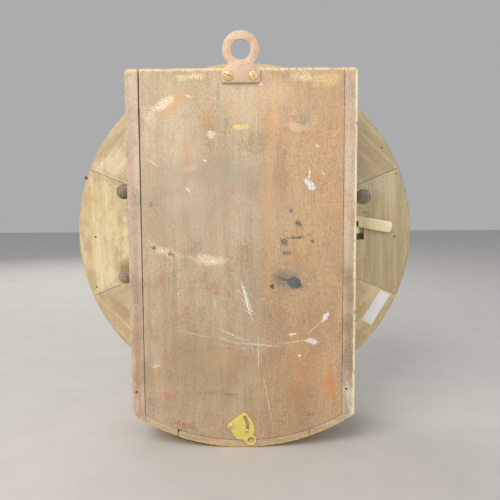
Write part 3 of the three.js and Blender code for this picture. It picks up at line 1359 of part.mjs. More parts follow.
// Recoil anchor: two pallets on an arched arm, spanning seven and a half teeth
function buildEscapement() {
  const escapeFront = BACK_PLATE_FRONT - ESCAPE_WHEEL_AT - ESCAPE_METAL;
  const yFront = escapeFront - (PALLET_METAL - ESCAPE_METAL) / 2;
  const yBack = yFront + PALLET_METAL;
  const lift = PALLET_AXIS_HEIGHT - ESCAPE[1];
  const span = radians((360 / ESCAPE_TEETH) * 7.5) / 2;
  const reach = ESCAPE_RADIUS + PALLET_CLEAR;
  const nib = [reach * Math.sin(span), -lift + reach * Math.cos(span)];
  const arm = new THREE.Shape();
  arm.moveTo(0, 5);
  arm.quadraticCurveTo(nib[0] * 0.75, 4, nib[0] + 3.4, nib[1] + 5);
  arm.lineTo(nib[0] + 2.2, nib[1] + 0.6);
  arm.lineTo(nib[0], nib[1]);
  arm.quadraticCurveTo(nib[0] * 0.75, -1, 0, -3.2);
  arm.quadraticCurveTo(-nib[0] * 0.75, -1, -nib[0], nib[1]);
  arm.lineTo(-nib[0] - 2.2, nib[1] + 0.6);
  arm.lineTo(-nib[0] - 3.4, nib[1] + 5);
  arm.quadraticCurveTo(-nib[0] * 0.75, 4, 0, 5);
  const anchor = cut(prism(arm, yBack, yFront, 5), axle(ARBOR + HOLE_FIT, 2 * RECESS_Y, 0, CENTRE, 10));
  place("pallet_anchor", atArbor(anchor, PALLETS), "steel");

  // The arbor runs through the back plate to the cock, and carries the crutch behind the plate
  const crutchBack = BACK_PLATE_BACK + GAP + 1.2 + CRUTCH_THICKNESS;
  const crutchFront = crutchBack - CRUTCH_THICKNESS;
  const leg = shapeOf([
    [-1.6, 0],
    [-1.2, -CRUTCH_LENGTH],
    [1.2, -CRUTCH_LENGTH],
    [1.6, 0],
  ]);
  const forkInner = ROD_RADIUS + 0.4;
  const forkLow = -CRUTCH_LENGTH - 1.5;
  const forkHigh = -CRUTCH_LENGTH + 1.5;
  const crutch = join(
    turned(
      [
        [0, FRONT_PLATE_FRONT],
        [PIVOT, FRONT_PLATE_FRONT],
        [PIVOT, FRONT_PLATE_BACK + GAP],
        [ARBOR, FRONT_PLATE_BACK + GAP],
        [ARBOR, COCK_BEARING_FRONT - GAP],
        [PIVOT, COCK_BEARING_FRONT - GAP],
        [PIVOT, COCK_BEARING_FRONT + COCK_THICKNESS],
        [0, COCK_BEARING_FRONT + COCK_THICKNESS],
      ],
      10,
    ),
    prism(circleShape(3.2), crutchBack, crutchFront, 5),
    prism(leg, crutchBack, crutchFront),
    block(
      [-forkInner - 1.4, forkInner + 1.4],
      [crutchFront, ROD_Y - forkInner],
      [forkLow, forkHigh],
    ),
    block([-forkInner - 1.4, -forkInner], [crutchFront, ROD_Y + 3.5], [forkLow, forkHigh]),
    block([forkInner, forkInner + 1.4], [crutchFront, ROD_Y + 3.5], [forkLow, forkHigh]),
  );
  place("crutch", atArbor(crutch, PALLETS), "steel");

  // Back cock: foot on the plate, a bearing for the arbor, and a slotted arm for the spring
  const top = PALLET_AXIS_HEIGHT + COCK_RISE;
  const armLow = top - COCK_THICKNESS;
  const cockBack = ROD_Y + SPRING_HALF_WIDTH + 1.5;
  const side = shapeOf([
    [BACK_PLATE_BACK, armLow - 3],
    [BACK_PLATE_BACK + 3, armLow - 3],
    [BACK_PLATE_BACK + 3, armLow],
    [COCK_BEARING_FRONT, armLow],
    [COCK_BEARING_FRONT, PALLET_AXIS_HEIGHT - 4.5],
    [COCK_BEARING_FRONT + COCK_THICKNESS, PALLET_AXIS_HEIGHT - 4.5],
    [COCK_BEARING_FRONT + COCK_THICKNESS, PALLET_AXIS_HEIGHT],
    [cockBack, PALLET_AXIS_HEIGHT],
    [cockBack, top],
    [BACK_PLATE_BACK, top],
  ]);
  const cockBody = solid(
    new THREE.ExtrudeGeometry(side, { depth: 2 * COCK_HALF_WIDTH, bevelEnabled: false })
      .rotateX(Math.PI / 2)
      .rotateZ(Math.PI / 2)
      .translate(-COCK_HALF_WIDTH, 0, 0),
  );
  const cock = cut(
    cockBody,
    axle(PIVOT + RUN, 2 * RECESS_Y, 0, PALLETS, 10),
    block(
      [-SPRING_THICKNESS / 2 - SPRING_PLAY, SPRING_THICKNESS / 2 + SPRING_PLAY],
      [ROD_Y - SPRING_HALF_WIDTH - 0.5, cockBack + 1],
      [PALLET_AXIS_HEIGHT - 1, top + 1],
    ),
  );
  place("back_cock", cock, "brass");
}

function buildPendulum() {
  const top = PALLET_AXIS_HEIGHT + COCK_RISE;
  const bobAt = PALLET_AXIS_HEIGHT - PENDULUM_LENGTH;
  const springLow = PALLET_AXIS_HEIGHT - SPRING_LENGTH;
  const spring = join(
    block(
      [-SPRING_THICKNESS / 2, SPRING_THICKNESS / 2],
      [ROD_Y - SPRING_HALF_WIDTH, ROD_Y + SPRING_HALF_WIDTH],
      [springLow, top + 1.6],
    ),
    rod(1, -4, 4, "x", [0, ROD_Y, top + 1.6], 8),
  );
  place("suspension_spring", spring, "steel");
  const rodTop = springLow + 5;
  const rodLow = bobAt - BOB_RADIUS - ROD_BELOW_BOB;
  const slot = block(
    [-SPRING_THICKNESS / 2 - GAP, SPRING_THICKNESS / 2 + GAP],
    [ROD_Y - 5, ROD_Y + 5],
    [springLow - GAP, rodTop + 1],
  );
  const body = join(
    rod(ROD_RADIUS, rodLow, springLow, "z", [0, ROD_Y, 0], 12),
    block(
      [-2.4, 2.4],
      [ROD_Y - SPRING_HALF_WIDTH, ROD_Y + SPRING_HALF_WIDTH],
      [springLow - 3, rodTop],
    ),
  );
  place("pendulum_rod", cut(body, slot), "steel");

  const steps = 3;
  const lens = [[0, -BOB_THICKNESS / 2]];
  const rim = 1.2;
  const bulge = BOB_THICKNESS / 2 - rim;
  const sphere = (BOB_RADIUS ** 2 + bulge ** 2) / (2 * bulge);
  const height = (r) => rim + Math.sqrt(sphere ** 2 - r ** 2) - (sphere - bulge);
  for (let i = 1; i <= steps; i++) lens.push([(BOB_RADIUS * i) / steps, -height((BOB_RADIUS * i) / steps)]);
  for (let i = steps; i >= 1; i--) lens.push([(BOB_RADIUS * i) / steps, height((BOB_RADIUS * i) / steps)]);
  lens.push([0, BOB_THICKNESS / 2]);
  const bob = cut(
    turned(lens, 28, "y", [0, ROD_Y, bobAt]),
    rod(ROD_RADIUS + RUN, bobAt - BOB_RADIUS - 5, bobAt + BOB_RADIUS + 5, "z", [0, ROD_Y, 0], 12),
  );
  place("pendulum_bob", bob, "brass");
  const nutTop = bobAt - BOB_RADIUS - NUT_GAP;
  const nut = cut(
    rod(NUT_RADIUS, nutTop - NUT_HEIGHT, nutTop, "z", [0, ROD_Y, 0], 14),
    rod(ROD_RADIUS + RUN, nutTop - NUT_HEIGHT - 1, nutTop + 1, "z", [0, ROD_Y, 0], 12),
  );
  place("rating_nut", nut, "brass");
}

buildCase();
buildSurround();
buildPegs();
buildHangings();
buildSteadyPlate();
buildCatch();
buildBezel();
buildDial();
buildHands();
buildDoors();
buildPlates();
buildGoingTrain();
buildMotionWork();
buildEscapement();
buildPendulum();

export default root;
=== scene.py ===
"""Looks of a school wall clock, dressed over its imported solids.

The camera looks at the clock's back, almost square to it, and the floor lies under its foot.
Sizes are in millimetres in the clock's own frame: +Z up, +Y out of the box's rear face, and the
dial looking along -Y with its centre at x = z = 0. A piece becomes metres when it is finished.
"""

from __future__ import annotations

import functools
import logging
import math
from dataclasses import dataclass
from enum import Enum
from typing import Sequence

import bmesh
import bpy
from mathutils import Matrix, Vector


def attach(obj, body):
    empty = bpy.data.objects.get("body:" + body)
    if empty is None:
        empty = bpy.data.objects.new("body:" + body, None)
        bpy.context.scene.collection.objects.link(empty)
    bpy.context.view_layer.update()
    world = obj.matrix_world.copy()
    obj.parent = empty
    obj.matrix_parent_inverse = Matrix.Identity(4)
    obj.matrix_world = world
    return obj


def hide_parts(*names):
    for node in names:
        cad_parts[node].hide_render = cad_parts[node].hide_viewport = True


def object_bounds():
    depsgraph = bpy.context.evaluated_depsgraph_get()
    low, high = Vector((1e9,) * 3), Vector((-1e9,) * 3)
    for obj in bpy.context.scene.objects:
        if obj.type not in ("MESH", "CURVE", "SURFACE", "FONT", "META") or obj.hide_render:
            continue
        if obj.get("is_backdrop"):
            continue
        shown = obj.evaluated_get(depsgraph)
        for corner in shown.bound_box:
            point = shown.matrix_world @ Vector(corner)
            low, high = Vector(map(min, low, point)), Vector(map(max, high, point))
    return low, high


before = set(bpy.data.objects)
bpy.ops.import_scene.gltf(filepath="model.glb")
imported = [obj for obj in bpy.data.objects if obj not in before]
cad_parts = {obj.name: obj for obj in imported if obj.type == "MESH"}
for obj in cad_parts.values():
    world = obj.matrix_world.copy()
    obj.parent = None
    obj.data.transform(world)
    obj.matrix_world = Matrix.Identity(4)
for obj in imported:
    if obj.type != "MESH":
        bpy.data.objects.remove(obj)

LOG = logging.getLogger("school_clock")
MM = 0.001

Point = tuple[float, float]
Place = tuple[float, float, float]
Colour = tuple[int, int, int]
Socket = bpy.types.NodeSocket

ORIGIN: Place = (0.0, 0.0, 0.0)
SPOT_DEPTH = 800.0  # how far a spot reaches through the wood
CHALK: Colour = (240, 234, 220)
SOOT: Colour = (92, 88, 86)
FOOT_MIDDLE: Place = (0.0, 0.0, -7.1)
FOOT_RADIUS = 194.9
REAR = -112.0  # the rear face of the surround
THROUGH: Point = (-145.0, -120.0)  # a run that passes right through dial, bezel and hands
SHARP = 32.0  # degrees from which an edge stays sharp
WELD = 0.002  # how near two points have to be to become one


class Plane(Enum):
    """The plane that an outline is drawn in."""

    DIAL = "x and z, run along y"
    LEVEL = "x and y, run along z"

    def point(self, across: float, up: float, along: float) -> Place:
        """Return a point of the plane at a place along its run."""
        return (across, along, up) if self is Plane.DIAL else (across, up, along)

    def run(self, distance: float) -> Vector:
        """Return the step along the plane's run."""
        return Vector(self.point(0.0, 0.0, distance))


class Axis(Enum):
    """An axis of the clock, with a direction square to it."""

    X = (Vector((1, 0, 0)), Vector((0, 0, 1)))
    Y = (Vector((0, 1, 0)), Vector((1, 0, 0)))
    Z = (Vector((0, 0, 1)), Vector((1, 0, 0)))

    @property
    def along(self) -> Vector:
        """Return the axis's direction."""
        return self.value[0]

    @property
    def out(self) -> Vector:
        """Return a direction square to the axis."""
        return self.value[1]


def around(centre: Point, radius: float, start: float, end: float, steps: int) -> list[Point]:
    """Return points on an arc.

    Args:
        centre: The arc's centre.
        radius: Its radius.
        start: The first point's direction in degrees.
        end: The last point's direction in degrees.
        steps: The number of spans between points.

    Returns:
        The points from start to end.
    """
    angles = [math.radians(start + (end - start) * i / steps) for i in range(steps + 1)]
    return [(centre[0] + radius * math.cos(a), centre[1] + radius * math.sin(a)) for a in angles]


def curve(start: Point, pull: Point, end: Point, steps: int = 8) -> list[Point]:
    """Return points on a bend that is pulled towards a point, without its first point.

    Args:
        start: Where the bend starts.
        pull: The point that it leans to.
        end: Where it ends.
        steps: The number of spans.

    Returns:
        The points after start, up to end.
    """
    points = []
    for i in range(1, steps + 1):
        t = i / steps
        a, b, c = (1 - t) ** 2, 2 * t * (1 - t), t * t
        points.append(tuple(a * s + b * p + c * e for s, p, e in zip(start, pull, end)))
    return points


class Work:
    """A piece on the bench: a mesh in millimetres, in the clock's own axes."""

    def __init__(self) -> None:
        """Clear the bench."""
        self.mesh: bmesh.types.BMesh = bmesh.new()

    def _closed(self) -> "Work":
        """Weld doubled points and point the faces outwards."""
        bmesh.ops.remove_doubles(self.mesh, verts=self.mesh.verts[:], dist=WELD)
        bmesh.ops.recalc_face_normals(self.mesh, faces=self.mesh.faces[:])
        return self

    def slab(
        self, outline: Sequence[Point], start: float, end: float, plane: Plane = Plane.DIAL
    ) -> "Work":
        """Run an outline into a solid.

        Args:
            outline: Its corners in order.
            start: Where the run starts along the plane's own direction.
            end: Where the run ends.
            plane: The plane of the outline.

        Returns:
            This work.
        """
        corners = [self.mesh.verts.new(plane.point(a, b, start)) for a, b in outline]
        face = self.mesh.faces.new(corners)
        run = bmesh.ops.extrude_face_region(self.mesh, geom=[face])
        moved = [g for g in run["geom"] if isinstance(g, bmesh.types.BMVert)]
        bmesh.ops.translate(self.mesh, vec=plane.run(end - start), verts=moved)
        return self._closed()

    def box(self, low: Place, high: Place) -> "Work":
        """Add a block between two corners.

        Args:
            low: Its lowest corner.
            high: Its highest corner.

        Returns:
            This work.
        """
        middle = (Vector(low) + Vector(high)) / 2
        size = [abs(h - l) for h, l in zip(high, low)]
        matrix = Matrix.Translation(middle) @ Matrix.Diagonal((*size, 1.0))
        bmesh.ops.create_cube(self.mesh, size=1.0, matrix=matrix)
        return self

    def turned(
        self, profile: Sequence[Point], axis: Axis, at: Place = ORIGIN, steps: int = 48
    ) -> "Work":
        """Turn a profile on the lathe.

        Args:
            profile: Points as (radius, distance along the axis).
            axis: The lathe's axis.
            at: A point that the axis runs through.
            steps: The number of steps round.

        Returns:
            This work.
        """
        points = [Vector(at) + axis.out * r + axis.along * s for r, s in profile]
        verts = [self.mesh.verts.new(p) for p in points]
        edges = [self.mesh.edges.new(pair) for pair in zip(verts, verts[1:])]
        bmesh.ops.spin(
            self.mesh, geom=verts + edges, cent=Vector(at), axis=axis.along,
            angle=math.tau, steps=steps, use_merge=True,
        )
        return self._closed()

    def rod(
        self, radius: float, start: float, end: float, axis: Axis, at: Place, steps: int = 24
    ) -> "Work":
        """Add a round rod along an axis, from one place on it to another.

        Args:
            radius: The rod's radius.
            start: Where it starts along the axis.
            end: Where it ends.
            axis: Its axis.
            at: A point that the axis runs through.
            steps: The number of sides.

        Returns:
            This work.
        """
        return self.turned([(0, start), (radius, start), (radius, end), (0, end)], axis, at, steps)

    def swept(self, profile: Sequence[Point], start: float, end: float, steps: int) -> "Work":
        """Carry a closed profile part of the way round the dial's axis.

        Args:
            profile: Corners as (radius, y).
            start: The first direction in degrees, from +X towards +Z.
            end: The last direction.
            steps: The number of steps between them.

        Returns:
            This work.
        """
        verts = [self.mesh.verts.new((r, y, 0)) for r, y in profile]
        face = self.mesh.faces.new(verts)
        turn = Matrix.Rotation(math.radians(-start), 3, "Y")
        bmesh.ops.rotate(self.mesh, cent=(0, 0, 0), matrix=turn, verts=verts)
        bmesh.ops.spin(
            self.mesh, geom=[face, *face.edges, *verts], cent=(0, 0, 0), axis=(0, -1, 0),
            angle=math.radians(end - start), steps=steps, use_merge=False,
        )
        return self._closed()

    def turn(self, degrees: float, axis: Axis, about: Place = ORIGIN) -> "Work":
        """Turn everything about an axis by the right-hand rule.

        Args:
            degrees: The angle.
            axis: The axis.
            about: A point on it.

        Returns:
            This work.
        """
        matrix = Matrix.Rotation(math.radians(degrees), 3, axis.along)
        bmesh.ops.rotate(self.mesh, cent=about, matrix=matrix, verts=self.mesh.verts[:])
        return self

    def move(self, step: Place) -> "Work":
        """Move everything by a step."""
        bmesh.ops.translate(self.mesh, vec=step, verts=self.mesh.verts[:])
        return self

    def absorb(self, other: "Work") -> "Work":
        """Take over another work's shape.

        Args:
            other: The other work, which is spent.

        Returns:
            This work.
        """
        shape = bpy.data.meshes.new("bench")
        other.mesh.to_mesh(shape)
        self.mesh.from_mesh(shape)
        other.mesh.free()
        bpy.data.meshes.remove(shape)
        return self

    def _object(self) -> bpy.types.Object:
        """Return a throw-away object of this work, for a modifier."""
        shape = bpy.data.meshes.new("bench")
        self.mesh.to_mesh(shape)
        thing = bpy.data.objects.new("bench", shape)
        bpy.context.scene.collection.objects.link(thing)
        return thing

    def carve(self, *tools: "Work", keep: bool = False) -> "Work":
        """Cut other work out of this one, or keep only what it shares with them.

        Args:
            tools: What cuts.
            keep: True to keep the shared part instead.

        Returns:
            This work.
        """
        things = [self._object()]
        for tool in tools:
            other = tool._object()
            cut = things[0].modifiers.new("carve", "BOOLEAN")
            cut.operation = "INTERSECT" if keep else "DIFFERENCE"
            cut.solver = "EXACT"
            cut.object = other
            things.append(other)
        graph = bpy.context.evaluated_depsgraph_get()
        shape = bpy.data.meshes.new_from_object(things[0].evaluated_get(graph))
        self.mesh.clear()
        self.mesh.from_mesh(shape)
        for mesh in [shape] + [thing.data for thing in things]:
            bpy.data.meshes.remove(mesh)
        return self

    def soften(self, width: float, segments: int = 2, angle: float = 28.0) -> "Work":
        """Round the edges that are sharper than an angle.

        Args:
            width: How far the rounding reaches from the edge.
            segments: The number of steps across it.
            angle: The angle in degrees between the faces.

        Returns:
            This work.
        """
        least = math.radians(angle)
        edges = [e for e in self.mesh.edges if e.is_manifold and e.calc_face_angle(0.0) > least]
        bmesh.ops.bevel(
            self.mesh, geom=edges, offset=width, segments=segments, profile=0.5,
            affect="EDGES", material=-1, clamp_overlap=True,
        )
        return self

    def piece(self, name: str, finish: "Finish", slot: str = "", body: str = "case") -> None:
        """Finish the work as a piece of the clock, shown in place of the solid of its name.

        Args:
            name: The piece's name.
            finish: How its surface looks.
            slot: The material slot of the record, where it has one. It is not used.
            body: The moving body that it belongs to.
        """
        bmesh.ops.scale(self.mesh, vec=(MM, MM, MM), verts=self.mesh.verts[:])
        shape = bpy.data.meshes.new(name)
        self.mesh.to_mesh(shape)
        self.mesh.free()
        shape.materials.append(finish.material())
        shape.shade_smooth()
        shape.set_sharp_from_angle(angle=math.radians(SHARP))
        made = bpy.data.objects.new(name, shape)
        bpy.context.scene.collection.objects.link(made)
        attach(made, body)
        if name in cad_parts:
            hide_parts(name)
        LOG.info("%s: %d faces", name, len(shape.polygons))


class Coat:
    """One material being laid up, from the piece's own coordinates to its shader."""

    def __init__(self, name: str) -> None:
        """Start a material.

        Args:
            name: The material's name.
        """
        self.material: bpy.types.Material = bpy.data.materials.new(name)
        self.material.use_nodes = True
        self.nodes = self.material.node_tree.nodes
        self.links = self.material.node_tree.links
        self.shader: bpy.types.Node = self.nodes["Principled BSDF"]
        place = self.nodes.new("ShaderNodeTexCoord").outputs["Object"]
        self.mm: Socket = self.mapped(place, scale=(1 / MM,) * 3)

    def feed(self, socket: Socket, value: object) -> None:
        """Link a socket to another, or set its own value."""
        if isinstance(value, Socket):
            self.links.new(value, socket)
        else:
            socket.default_value = value

    def set(self, **values: object) -> None:
        """Set the shader's sockets by name, with _ for a space."""
        for name, value in values.items():
            self.feed(self.shader.inputs[name.replace("_", " ")], value)

    def node(self, kind: str, vector: Socket | None = None, **settings: object) -> bpy.types.Node:
        """Add a node.

        Args:
            kind: Its kind, without the words ShaderNode.
            vector: What feeds its vector.
            settings: Its own settings.

        Returns:
            The node.
        """
        node = self.nodes.new(f"ShaderNode{kind}")
        for name, value in settings.items():
            setattr(node, name, value)
        if vector:
            self.links.new(vector, node.inputs["Vector"])
        return node

    def mapped(
        self, vector: Socket, at: Place = ORIGIN, turn: Place = ORIGIN,
        scale: Place = (1.0, 1.0, 1.0), kind: str = "POINT",
    ) -> Socket:
        """Move, turn and stretch coordinates.

        Args:
            vector: The coordinates.
            at: The step, or the centre for the kind TEXTURE.
            turn: The turns in degrees about X, Y and Z.
            scale: The stretch.
            kind: POINT, or TEXTURE for the way back.

        Returns:
            The new coordinates.
        """
        node = self.node("Mapping", vector, vector_type=kind)
        radians = tuple(math.radians(a) for a in turn)
        for name, value in (("Location", at), ("Rotation", radians), ("Scale", scale)):
            node.inputs[name].default_value = value
        return node.outputs["Vector"]

    def noise(
        self, vector: Socket, scale: float, detail: float = 4.0,
        rough: float = 0.55, twist: float = 0.0,
    ) -> Socket:
        """Return a cloudy pattern from 0 to 1.

        Args:
            vector: The coordinates.
            scale: Its fineness.
            detail: The number of finer layers.
            rough: How strong the finer layers are.
            twist: How far it is twisted.

        Returns:
            The pattern.
        """
        node = self.node("TexNoise", vector)
        names = ("Scale", "Detail", "Roughness", "Distortion")
        for name, value in zip(names, (scale, detail, rough, twist)):
            node.inputs[name].default_value = value
        return node.outputs["Fac"]

    def stretched(
        self, vector: Socket, scale: Place, detail: float, rough: float,
        twist: float = 0.0, at: Place = ORIGIN,
    ) -> Socket:
        """Return a cloudy pattern with its own fineness along each axis.

        Args:
            vector: The coordinates.
            scale: The fineness along X, Y and Z.
            detail: The number of finer layers.
            rough: How strong the finer layers are.
            twist: How far it is twisted.
            at: Another place in the pattern.

        Returns:
            The pattern.
        """
        return self.noise(self.mapped(vector, at=at, scale=scale), 1.0, detail, rough, twist)

    def sums(self, operation: str, a: object, b: object, clamp: bool = False) -> Socket:
        """Return the result of a sum on two values.

        Args:
            operation: Blender's name for the sum.
            a: The first value or socket.
            b: The second one.
            clamp: True to keep the result from 0 to 1.

        Returns:
            The result.
        """
        node = self.node("Math", operation=operation, use_clamp=clamp)
        self.feed(node.inputs[0], a)
        self.feed(node.inputs[1], b)
        return node.outputs[0]

    def plus(self, a: Socket, b: object) -> Socket:
        """Return two values added."""
        return self.sums("ADD", a, b)

    def times(self, a: Socket, b: object) -> Socket:
        """Return two values multiplied."""
        return self.sums("MULTIPLY", a, b)

    def swing(self, pattern: Socket, size: float) -> Socket:
        """Return a pattern's swing about its middle, times a size."""
        return self.times(self.sums("SUBTRACT", pattern, 0.5), size)

    def ranged(
        self, value: Socket, start: float, end: float, low: float = 0.0, high: float = 1.0
    ) -> Socket:
        """Spread a value between two levels smoothly.

        Args:
            value: The value.
            start: Where the result is low.
            end: Where it is high.
            low: The lowest result.
            high: The highest result.

        Returns:
            The result.
        """
        node = self.node("MapRange", interpolation_type="SMOOTHSTEP")
        for socket, given in zip(node.inputs, (value, start, end, low, high)):
            self.feed(socket, given)
        return node.outputs[0]

    def mixed(self, share: object, first: object, second: object, way: str = "MIX") -> Socket:
        """Mix two colours.

        Args:
            share: How much of the second shows.
            first: The first colour, as a socket or as 0 to 255.
            second: The second colour.
            way: Blender's name for the way of mixing.

        Returns:
            The mixed colour.
        """
        node = self.node("Mix", data_type="RGBA", blend_type=way)
        self.feed(node.inputs["Factor"], share)
        for socket, colour in zip((node.inputs[6], node.inputs[7]), (first, second)):
            self.feed(socket, linear(colour) if isinstance(colour, tuple) else colour)
        return node.outputs[2]

    def apart(self, axis: str) -> Socket:
        """Return one coordinate in millimetres, named X, Y or Z."""
        return self.node("SeparateXYZ", self.mm).outputs[axis]

    def length(self, vector: Socket) -> Socket:
        """Return the length of a vector."""
        return self.node("VectorMath", vector, operation="LENGTH").outputs["Value"]

    def spot(self, at: Place, turn: float, size: Point) -> Socket:
        """Return a value that falls from one at a spot's centre to none at its outline.

        Args:
            at: The centre in millimetres.
            turn: The turn of its long axis from +X towards +Z in degrees.
            size: Half its length and half its width.

        Returns:
            The value.
        """
        node = self.node("TexGradient", self.mm, gradient_type="SPHERICAL")
        own = node.texture_mapping
        own.vector_type = "TEXTURE"
        own.translation, own.rotation = at, (0.0, math.radians(-turn), 0.0)
        own.scale = (size[0], SPOT_DEPTH, size[1])
        return node.outputs["Fac"]

    def bump(self, height: Socket, depth: float, strength: float) -> None:
        """Lay a relief under the shader.

        Args:
            height: The relief from 0 to 1.
            depth: Its depth in millimetres.
            strength: How much of it shows.
        """
        node = self.node("Bump")
        node.inputs["Strength"].default_value = strength
        node.inputs["Distance"].default_value = depth * MM
        self.links.new(height, node.inputs["Height"])
        normal = self.shader.inputs["Normal"]
        if normal.is_linked:
            self.links.new(normal.links[0].from_socket, node.inputs["Normal"])
        self.links.new(node.outputs["Normal"], normal)


def linear(colour: Colour) -> tuple[float, float, float, float]:
    """Return a screen colour from 0 to 255 as light.

    Args:
        colour: Red, green and blue.

    Returns:
        Red, green, blue and a full alpha.
    """
    parts = [c / 255 for c in colour]
    return (*[p / 12.92 if p <= 0.04045 else ((p + 0.055) / 1.055) ** 2.4 for p in parts], 1.0)


@dataclass(frozen=True)
class Mark:
    """A mark on a surface: a smear, a stain, a scratch or a worn place, and also painted light and
    painted shade.
    """

    name: str
    at: Point  # x and z
    half: Point  # half length and half width
    colour: Colour
    turn: float = 0.0  # degrees from +X towards +Z
    strength: float = 0.8
    ragged: float = 0.5  # how far its outline wanders, as a share of its size
    flecks: float = 0.0  # how much of it is broken up
    soft: float = 0.5  # how wide its fading edge is
    y: float = 0.0

    def laid(self, coat: Coat, under: Socket) -> Socket:
        """Lay the mark over a colour.

        Args:
            coat: The material.
            under: The colour below it.

        Returns:
            The colour with the mark.
        """
        long, wide = self.half
        near = coat.spot((self.at[0], self.y, self.at[1]), self.turn, (2.0 * long, 2.0 * wide))
        edge = coat.noise(coat.mm, 1.4 / max(2.0, min(long, wide * 3)), 3.0)
        drift = coat.swing(edge, 1.2 * self.ragged)
        mask = coat.ranged(coat.sums("SUBTRACT", near, drift), 0.5, 0.5 + self.soft / 2.0)
        if self.flecks:
            fine = coat.noise(coat.mm, 0.75, 5.0, 0.7)
            kept = coat.ranged(fine, 0.38 + 0.16 * self.flecks, 0.46 + 0.16 * self.flecks)
            mask = coat.times(mask, kept)
        return coat.mixed(coat.sums("MULTIPLY", mask, self.strength, True), under, self.colour)


class Edge(Enum):
    """A line that a worn edge follows."""

    SIDE = "x"
    TOP = "z"
    FOOT = "foot"
    RIM = "rim"


@dataclass(frozen=True)
class Wear:
    """A worn edge, lighter than the wood behind it."""

    edge: Edge
    start: float  # where the wear begins along x, z or the radius
    end: float  # where it is full
    colour: Colour
    strength: float = 0.8
    broken: float = 0.5  # how much of the edge has kept its skin
    depth: float = 4.0  # how far the wear runs in from the back

    def laid(self, coat: Coat, under: Socket) -> Socket:
        """Lay the worn edge over a colour.

        Args:
            coat: The material.
            under: The colour below it.

        Returns:
            The colour with its worn edge.
        """
        if self.edge in (Edge.SIDE, Edge.TOP):
            along = coat.apart(self.edge.value.upper())
        else:
            centre = FOOT_MIDDLE if self.edge is Edge.FOOT else ORIGIN
            flat = coat.mapped(coat.mm, at=centre, scale=(1.0, 1e6, 1.0), kind="TEXTURE")
            along = coat.length(flat)
        wander = coat.noise(coat.mm, 0.09, 5.0, 0.65)
        drift = coat.swing(wander, (self.end - self.start) * 2.5)
        mask = coat.ranged(coat.plus(along, drift), self.start, self.end)
        skin = 0.3 + 0.3 * self.broken
        mask = coat.times(mask, coat.ranged(coat.noise(coat.mm, 0.22, 4.0), skin, skin + 0.12))
        if self.edge is not Edge.RIM:
            inward = coat.plus(coat.apart("Y"), coat.times(wander, self.depth))
            middle = -self.depth / 2
            mask = coat.times(mask, coat.ranged(inward, middle - 1.0, middle + 1.0))
        return coat.mixed(coat.sums("MULTIPLY", mask, self.strength, True), under, self.colour)


class Grain(Enum):
    """The way that the wood's fibres run, as turns of the coordinates that bring them upright."""

    UP = (0.0, 0.0, 0.0)
    ACROSS = (0.0, 90.0, 0.0)


@dataclass(frozen=True)
class Finish:
    """How a surface looks. Each kind lays up its own material."""

    name: str

    @functools.lru_cache(maxsize=None)
    def material(self) -> bpy.types.Material:
        """Return the finish's material, made the first time that it is asked for."""
        coat = Coat(self.name)
        self.lay(coat)
        return coat.material

    def lay(self, coat: Coat) -> None:
        """Lay the finish up on a new material.

        Args:
            coat: The material.
        """
        raise NotImplementedError(self.name)


